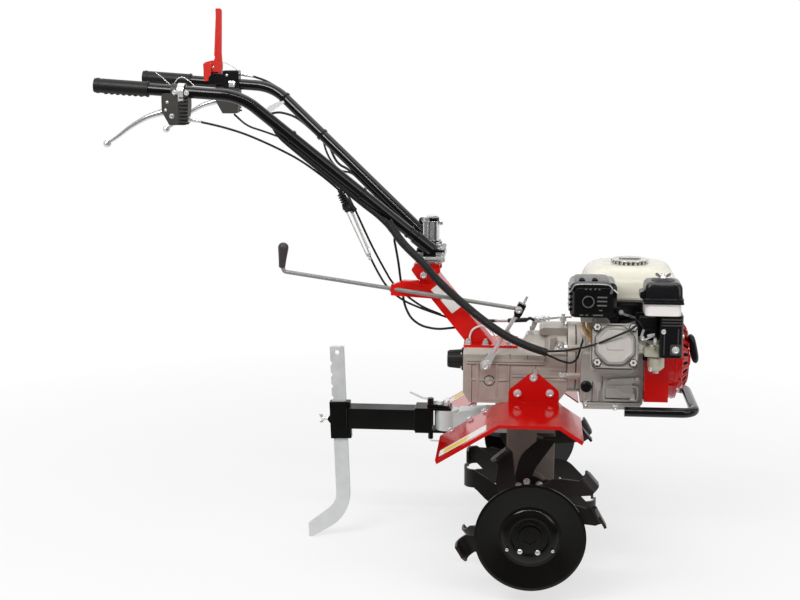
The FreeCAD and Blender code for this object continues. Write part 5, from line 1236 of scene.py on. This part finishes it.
def housing_details():
    """Cover plate, ribs, screws, clamp band and adjuster of both lever housings."""
    steel = Shape()
    for side, name, ahead in HOUSINGS:
        face = Face((ahead, side * HOUSING_SIDE, 0), AHEAD, UP, out=(0, side, 0))
        plate = Shape()
        plate.slab(rounded([(-864, 990), (-826, 990), (-826, 920), (-846, 920), (-863, 948)], 3),
                   -1, 1.6, face)
        on("lever_housing_" + name, plate, "housing_plate_" + name, "grey_plastic", 0.8)
        ribs = Shape()
        for z in np.arange(929, 985, 8.5):
            ribs.slab(rectangle(-824, -804, z - 1.6, z + 1.6, 1.0), -1, 1.8, face)
        ribs.slab(rectangle(-826, -803, 919, 923, 1.0), -1, 1.8, face)
        on("lever_housing_" + name, ribs, "housing_ribs_" + name, "black_plastic", 0.5)
        for x, z in ((-852, 970), (-856, 952)):
            steel.dome(face.at(x, z, 1.5), (0, side, 0), 3.6)
        start = (-829 + ahead, side * BAR_Y, bar_top(-829 + ahead))
        steel.collar(start, (1, 0, BAR_SLOPE), 19.6, 17.2, 15.0, 48)
        for x, z in ((-834, 992), (-806, 991)):
            steel.bolt((x + ahead, side * (HOUSING_SIDE + 0.5), z), (0, side, 0), 9, 6, washer=6)
        steel.slab(rectangle(-829, -814, 972, 992, 1.5), -0.6, 1.6, face)
    adjuster = (-806.0, -BAR_Y, 930.5)
    steel.bolt(adjuster, (1, 0, -0.2), 11, 6, washer=7.5)
    steel.turned([(6, 5.6), (16, 5.6), (17, 4.6), (30, 4.2)], adjuster, (1, 0, -0.2))
    on("lever_housing_right", steel, "housing_screws", "zinc_plate", 0.3)


def hand_levers():
    """The two cast levers, whose oval section narrows evenly along a smooth path, and their
    turned ends and pivot bolts."""
    chrome = Shape()
    for side, name, ahead in HOUSINGS:
        line = (smooth_path([(-862, 0, 947), (-884, 0, 941.5), (-910, 0, 932), (-945, 0, 912),
                             (-978, 0, 888), (-1003, 0, 872)], 10) + (ahead, side * BAR_Y, 0))
        share = np.linspace(0, 1, len(line))
        width = np.stack([8.5 - 3.5 * share, 8.5 - 5.0 * share], -1)
        lever = Shape()
        lever.swept(line, circle(0, 0, 1.0, 20)[None] * width[:, None], flat=LEFT)
        lever = on("hand_lever_" + name, lever, "hand_lever_" + name + "_cast", "polished_alloy")
        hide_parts("hand_lever_" + name)
        tip = (-1003.0 + ahead, side * BAR_Y, 872.0)
        chrome.turned([(-9, 3), (-6, 7), (0, 9.6), (6, 8), (9, 4)], tip, (0.75, 0, 0.66), 24)
        chrome.bolt((-842 + ahead, side * (HOUSING_SIDE + 1), 938), (0, side, 0), 9, 4, washer=6.5)
    on("lever_housing_right", chrome, "lever_ends", "polished_alloy")


def red_lever_details():
    """Stiffening rib and hub of the tall red lever, its block, and the screws and wire on that."""
    rib = Shape()
    rib.slab(rounded([(-836, 1062), (-830, 1062), (-822, 1170), (-829, 1170)], 2), 209, 221, LEFT_FACE)
    rib.slab(rounded([(-862, 1026), (-818, 1014), (-816, 1046), (-838, 1052), (-862, 1046)], 5),
             203, 227, LEFT_FACE)
    rib.slab(rounded([(-863, 1044), (-838, 1046), (-846, 1000), (-861, 997)], 4), 196, 206, LEFT_FACE)
    on("red_lever", rib, "red_lever_hub", "red_plastic", 1.4)
    block = Shape()
    block.slab(rectangle(-812, -770, 980, 1026, 4), 197, 229, LEFT_FACE)
    block.slab(rounded([(-850, 989), (-806, 989), (-806, 1016), (-836, 1020), (-850, 1008)], 4),
               195, 226, LEFT_FACE)
    on("red_lever_mount", block, "lever_block", "black_plastic", 1.5)
    steel = Shape()
    steel.dome((-838, 203, 1034), RIGHT, 3.0)
    for place in ((-801, 197, 1014), (-783, 197, 990)):
        steel.dome(place, RIGHT, 3.4)
    steel.turned([(0, 4.2), (18, 4.2), (19, 3.0), (34, 3.0)], (-770, 224, 1016), (1, 0, -0.22))
    steel.tube([(-842, 212, 1040), (-818, 214, 1047), (-790, 218, 1036), (-770, 222, 1018)], 1.0)
    on("red_lever_mount", steel, "lever_block_steel", "zinc_plate", 0.2)


def cables_along_bars():
    """Cables that leave the levers in smooth curves and run on under the bars, each point
    on_bar(side, share) - UNDER_BAR; the bundle under the right bar, whose radius grows from 2.4
    to 6.6 over its first quarter; the pale tail of one and the ties round both bars."""
    cable = Shape()
    cable.tube([(-738, 227, 1010), (-700, 229, 996), (-655, 227, 968), (-620, 214, 935),
                (-570, 192, 890), (-550, 183, 868)], 2.9)
    cable.tube([(-550, 183, 868), (-531, 170, 836), (-516, 158, 806), (-500, 142, 790),
                *(on_bar(1, share) - UNDER_BAR for share in (0.52, 0.64, 0.76, 0.88, 0.98))], 3.2)
    cable.tube([(-550, 178, 862), (-540, 168, 826), (-524, 156, 798), (-498, 138, 776),
                *(on_bar(1, share) - UNDER_BAR * (1.0, 1.9, 1.0)
                  for share in (0.54, 0.66, 0.78, 0.88, 0.98))], 2.6)
    line = smooth_path([on_bar(-1, 0.17) - UNDER_BAR * 0.6, *(on_bar(-1, share) - UNDER_BAR * 1.06
                                                              for share in (0.23, 0.34, 0.46, 0.58,
                                                                            0.67)), (-378, -107, 695),
                        (-354, -109, 673), (-341, -111, 657)], 8)
    radius = 2.4 + 4.2 * np.clip(np.linspace(0, 4, len(line)), 0, 1)
    cable.swept(line, circle(0, 0, radius[:, None], 16))
    cable.tube([(-690, 200, 915), (-660, 198, 918), (-618, 190, 905), (-575, 182, 872),
                (-550, 176, 850)], 3.0)
    on("handlebar_left", cable, "throttle_cable", "black_rubber")
    blade = Shape()
    blade.slab(rounded([(-706, 920), (-684, 921), (-650, 944), (-640, 950), (-662, 948), (-690, 936)],
                       2), 188, 193, LEFT_FACE)
    on("handlebar_left", blade, "cable_tail", "white_plastic", material=TAIL)
    ties = Shape()
    for side, share in ((1, 0.31), (1, 0.07), (-1, 0.25), (-1, 0.62), (-1, 0.88)):
        spot = on_bar(side, share)
        along = (BAR_FOOT - BAR_BEND) * (1, side, 1)
        ties.collar(spot, along, 16.4, 14.2, 5.5, 32)
        ties.block((spot[0] - 5, spot[0] + 5), (spot[1] - 18 * side, spot[1] - 12 * side),
                   (spot[2] - 6, spot[2] + 4))
    on("handlebar_left", ties, "bar_ties", "black_plastic", 0.4)


def wire_details():
    """Bright inner wires that run from the levers over the bars."""
    wires = Shape()
    for route in ([(-884, -206, 1037), (-866, -207, 1023), (-849, -209, 1008)],
                  [(-842, -207, 1009), (-833, -205, 1022), (-822, -204, 1026), (-806, -205, 1018),
                   (-792, -208, 1005)], [(-845, 200, 1003), (-826, 196, 1010), (-806, 198, 1000)]):
        wires.tube(route, 0.9)
    on("handlebar_right", wires, "lever_wires", "zinc_plate")


def tensioner_details():
    """Two plated strands of the belt tensioner, its spring and the collars of its boot."""
    strands = Shape()
    start, end = np.array((-445.5, -117.0, 707.0)), np.array((-403.8, -92.0, 601.0))
    along = end - start
    side = np.cross(along, LEFT)
    side /= np.linalg.norm(side)
    for shift in (-6.5, 5.0):
        strands.tube([start + side * shift, end + side * shift * 0.7], 1.9, 10)
    strands.coil(start + side * 5.0, along, 3.4, 0.8, 30, np.linalg.norm(along) * 0.92, 8)
    strands.bolt(end, along, 11, 8, washer=8)
    strands.bolt(end + along / np.linalg.norm(along) * 14, along, 9, 5)
    supple("tensioner_spring", strands.mesh("tensioner_wires"), "zinc_plate", "cable_tensioner")
    boot = Shape()
    top = np.array((-464.0, -123.0, 750.0))
    for share in np.linspace(0.05, 0.95, 8):
        spot = top + (start - top) * share
        boot.turned([(0, 8.4), (1.5, 10.6), (3.0, 8.4)], spot, along, 24)
    boot.turned([(0, 11), (8, 12.5), (14, 9)], start - along * 0.14, along, 24)
    supple("boot_folds", boot.mesh("boot_rings"), "black_rubber")


def sleeve_details():
    """Corrugation of the sleeve from the right bar to the gearbox, along a smooth path cut to
    equal steps: radius = 9.7 + 0.5 * cos(2 pi * reach / 4.4)."""
    rings = Shape()
    route = smooth_path([(-351.9, -108.3, 681.8), (-320, -113, 634), (-267, -114, 581),
                         (-234, -112, 542), (-182, -110, 493), (-128, -110, 448), (-72, -107, 408),
                         (-19, -107, 382), (35, -105, 363)], 12)
    step = np.linalg.norm(np.diff(route, axis=0), axis=1)
    reach = np.concatenate([[0], np.cumsum(step)])
    want = np.linspace(0, reach[-1], int(reach[-1] / 1.1))
    line = np.stack([np.interp(want, reach, route[:, axis]) for axis in range(3)], -1)
    radius = 9.7 + 0.5 * np.cos(2 * np.pi * want / 4.4)
    rings.swept(line, circle(0, 0, radius[:, None], 16))
    supple("sleeve_corrugation", rings.mesh("sleeve_rings"), "black_rubber")


for details in (casting_seams, bell_lugs, leg_details, shaft_cap_details, clutch_linkage,
                fender_details, column_details, gear_change_details, hitch_details, tine_details,
                crankcase_details, valve_cover_details, shroud_details, recoil_details, pull_grip,
                muffler_can, muffler_shield, manifold_and_plate, cleaner_details, carburettor_details,
                tank_details, bumper_details, tower_details, grip_details, housing_details,
                hand_levers, red_lever_details, cables_along_bars, wire_details, tensioner_details,
                sleeve_details):
    details()


# ---------------------------------------------------------------- stage, light and camera
ROOM_BANDS = ((0.10, 0.10), (0.16, 1.0), (0.34, 1.0), (0.40, 0.22), (0.56, 0.22), (0.80, 1.0))
ROOM_DIM = 0.10
ROOM_LIGHT = 0.45


def background(name, strength, tree):
    """A white surround of one strength, given as a value or as a socket."""
    return add_node(tree, "Background", {"Color": (1, 1, 1, 1), "Strength": strength},
                    name=name).outputs["Background"]


def room_in_mirrors(tree):
    """Strength of the surround by the ray's direction dotted with (0, 0.8, 0.6): a bright strip
    overhead and a bright wall behind the object, as ROOM_BANDS gives them by that product, dim
    between and behind the camera; always 1 for the camera."""
    way = add_node(tree, "TexCoord").outputs["Object"]
    dot = add_node(tree, "VectorMath", {0: way, 1: (0.0, 0.8, 0.6)}, operation="DOT_PRODUCT")
    share = ranged(tree, dot.outputs["Value"], -1.0, 1.0, 0.0, 1.0)
    bands = add_node(tree, "ValToRGB", {"Fac": share})
    stops = bands.color_ramp.elements
    for place, level in ROOM_BANDS:
        stops.new((place + 1) / 2).color = (level, level, level, 1)
    stops[0].color = (ROOM_DIM, ROOM_DIM, ROOM_DIM, 1)
    seen = add_node(tree, "LightPath").outputs["Is Camera Ray"]
    return combined(tree, "MAXIMUM", bands.outputs["Color"], seen)


def seen_directly(tree):
    """1 for rays from the camera, from mirrors and through glass, else 0: their sum, clamped."""
    rays = add_node(tree, "LightPath").outputs
    total = rays["Is Camera Ray"]
    for other in ("Is Glossy Ray", "Is Transmission Ray"):
        total = combined(tree, "ADD", total, rays[other], clamped=True)
    return total


def mixed(tree, share, first, second, output):
    """first * (1 - share) + second * share, sent to the material's or the world's output."""
    mix = add_node(tree, "MixShader", {"Fac": share, 1: first, 2: second})
    add_node(tree, output, {"Surface": mix.outputs["Shader"]})


def floor_surface():
    """Paper that keeps shadows, mixed with white light by the share of 0.62 near the object to 1
    away from it, and 1 in mirrors; the white is dimmer towards the camera's side."""
    material = bpy.data.materials.new("pale_floor")
    material.use_nodes = True
    tree = material.node_tree
    tree.nodes.clear()
    place = add_node(tree, "TexCoord").outputs["Object"]
    away = add_node(tree, "VectorMath", {0: place}, operation="LENGTH").outputs["Value"]
    across = add_node(tree, "SeparateXYZ", {0: place}).outputs["Y"]
    rays = add_node(tree, "LightPath").outputs
    glow = combined(tree, "MAXIMUM", ranged(tree, across, -1.0, -0.35, 0.06, 0.75),
                    rays["Is Camera Ray"])
    wide = combined(tree, "MAXIMUM", ranged(tree, away, 0.7, 2.2, 0.62, 1.0),
                    rays["Is Glossy Ray"])
    paper = add_node(tree, "BsdfDiffuse", {"Color": (0.88, 0.88, 0.88, 1)})
    white = add_node(tree, "Emission", {"Strength": glow})
    mixed(tree, combined(tree, "MULTIPLY", wide, seen_directly(tree)), paper.outputs["BSDF"],
          white.outputs["Emission"], "OutputMaterial")
    return material


def stage():
    """A pale floor that keeps the object's shadow, and a white surround."""
    bpy.ops.mesh.primitive_plane_add(size=60, location=(0, 0, 0))
    floor = bpy.context.object
    floor.name = "floor"
    floor.data.materials.append(floor_surface())
    world = bpy.data.worlds.new("room")
    bpy.context.scene.world = world
    world.use_nodes = True
    tree = world.node_tree
    tree.nodes.clear()
    mixed(tree, seen_directly(tree), background("room_light", ROOM_LIGHT, tree),
          background("white_surround", room_in_mirrors(tree), tree), "OutputWorld")


def lamp(name, where, target, size, power, height=None):
    """A soft lamp that faces its target, square or a strip of the given height."""
    data = bpy.data.lights.new(name, "AREA")
    data.shape = "RECTANGLE"
    data.size = size
    data.size_y = height or size
    data.energy = power
    holder = bpy.data.objects.new(name, data)
    holder.location = where
    holder.rotation_euler = (Vector(target) - Vector(where)).to_track_quat("-Z", "Y").to_euler()
    bpy.context.scene.collection.objects.link(holder)


def camera(place, down, turn, lens):
    """A long lens from the machine's right, a little above its handlebars: it looks down and
    turned from square by so many degrees."""
    data = bpy.data.cameras.new("camera")
    data.lens = lens
    data.sensor_width = 36.0
    holder = bpy.data.objects.new("camera", data)
    holder.location = into_frame(place)
    holder.rotation_euler = (math.radians(90 - down), 0, math.radians(turn))
    bpy.context.scene.collection.objects.link(holder)
    bpy.context.scene.camera = holder


stage()
lamp("key", (-1.6, -2.6, 3.4), (0.0, 0.0, 0.5), 1.8, 57)
lamp("strip", (0.0, -2.3, 2.7), (0.0, 0.0, 0.6), 4.2, 34, 0.09)
lamp("fill", (2.6, -2.2, 1.6), (0.2, 0.0, 0.5), 1.8, 17)
lamp("top", (0.2, 0.6, 3.6), (0.0, 0.0, 0.4), 2.5, 24)
camera((-25.1, -3500.0, 1172.0), 11.356, 5.019, 64.3)
scene = bpy.context.scene
scene.view_settings.view_transform = "Standard"
scene.view_settings.look = "None"
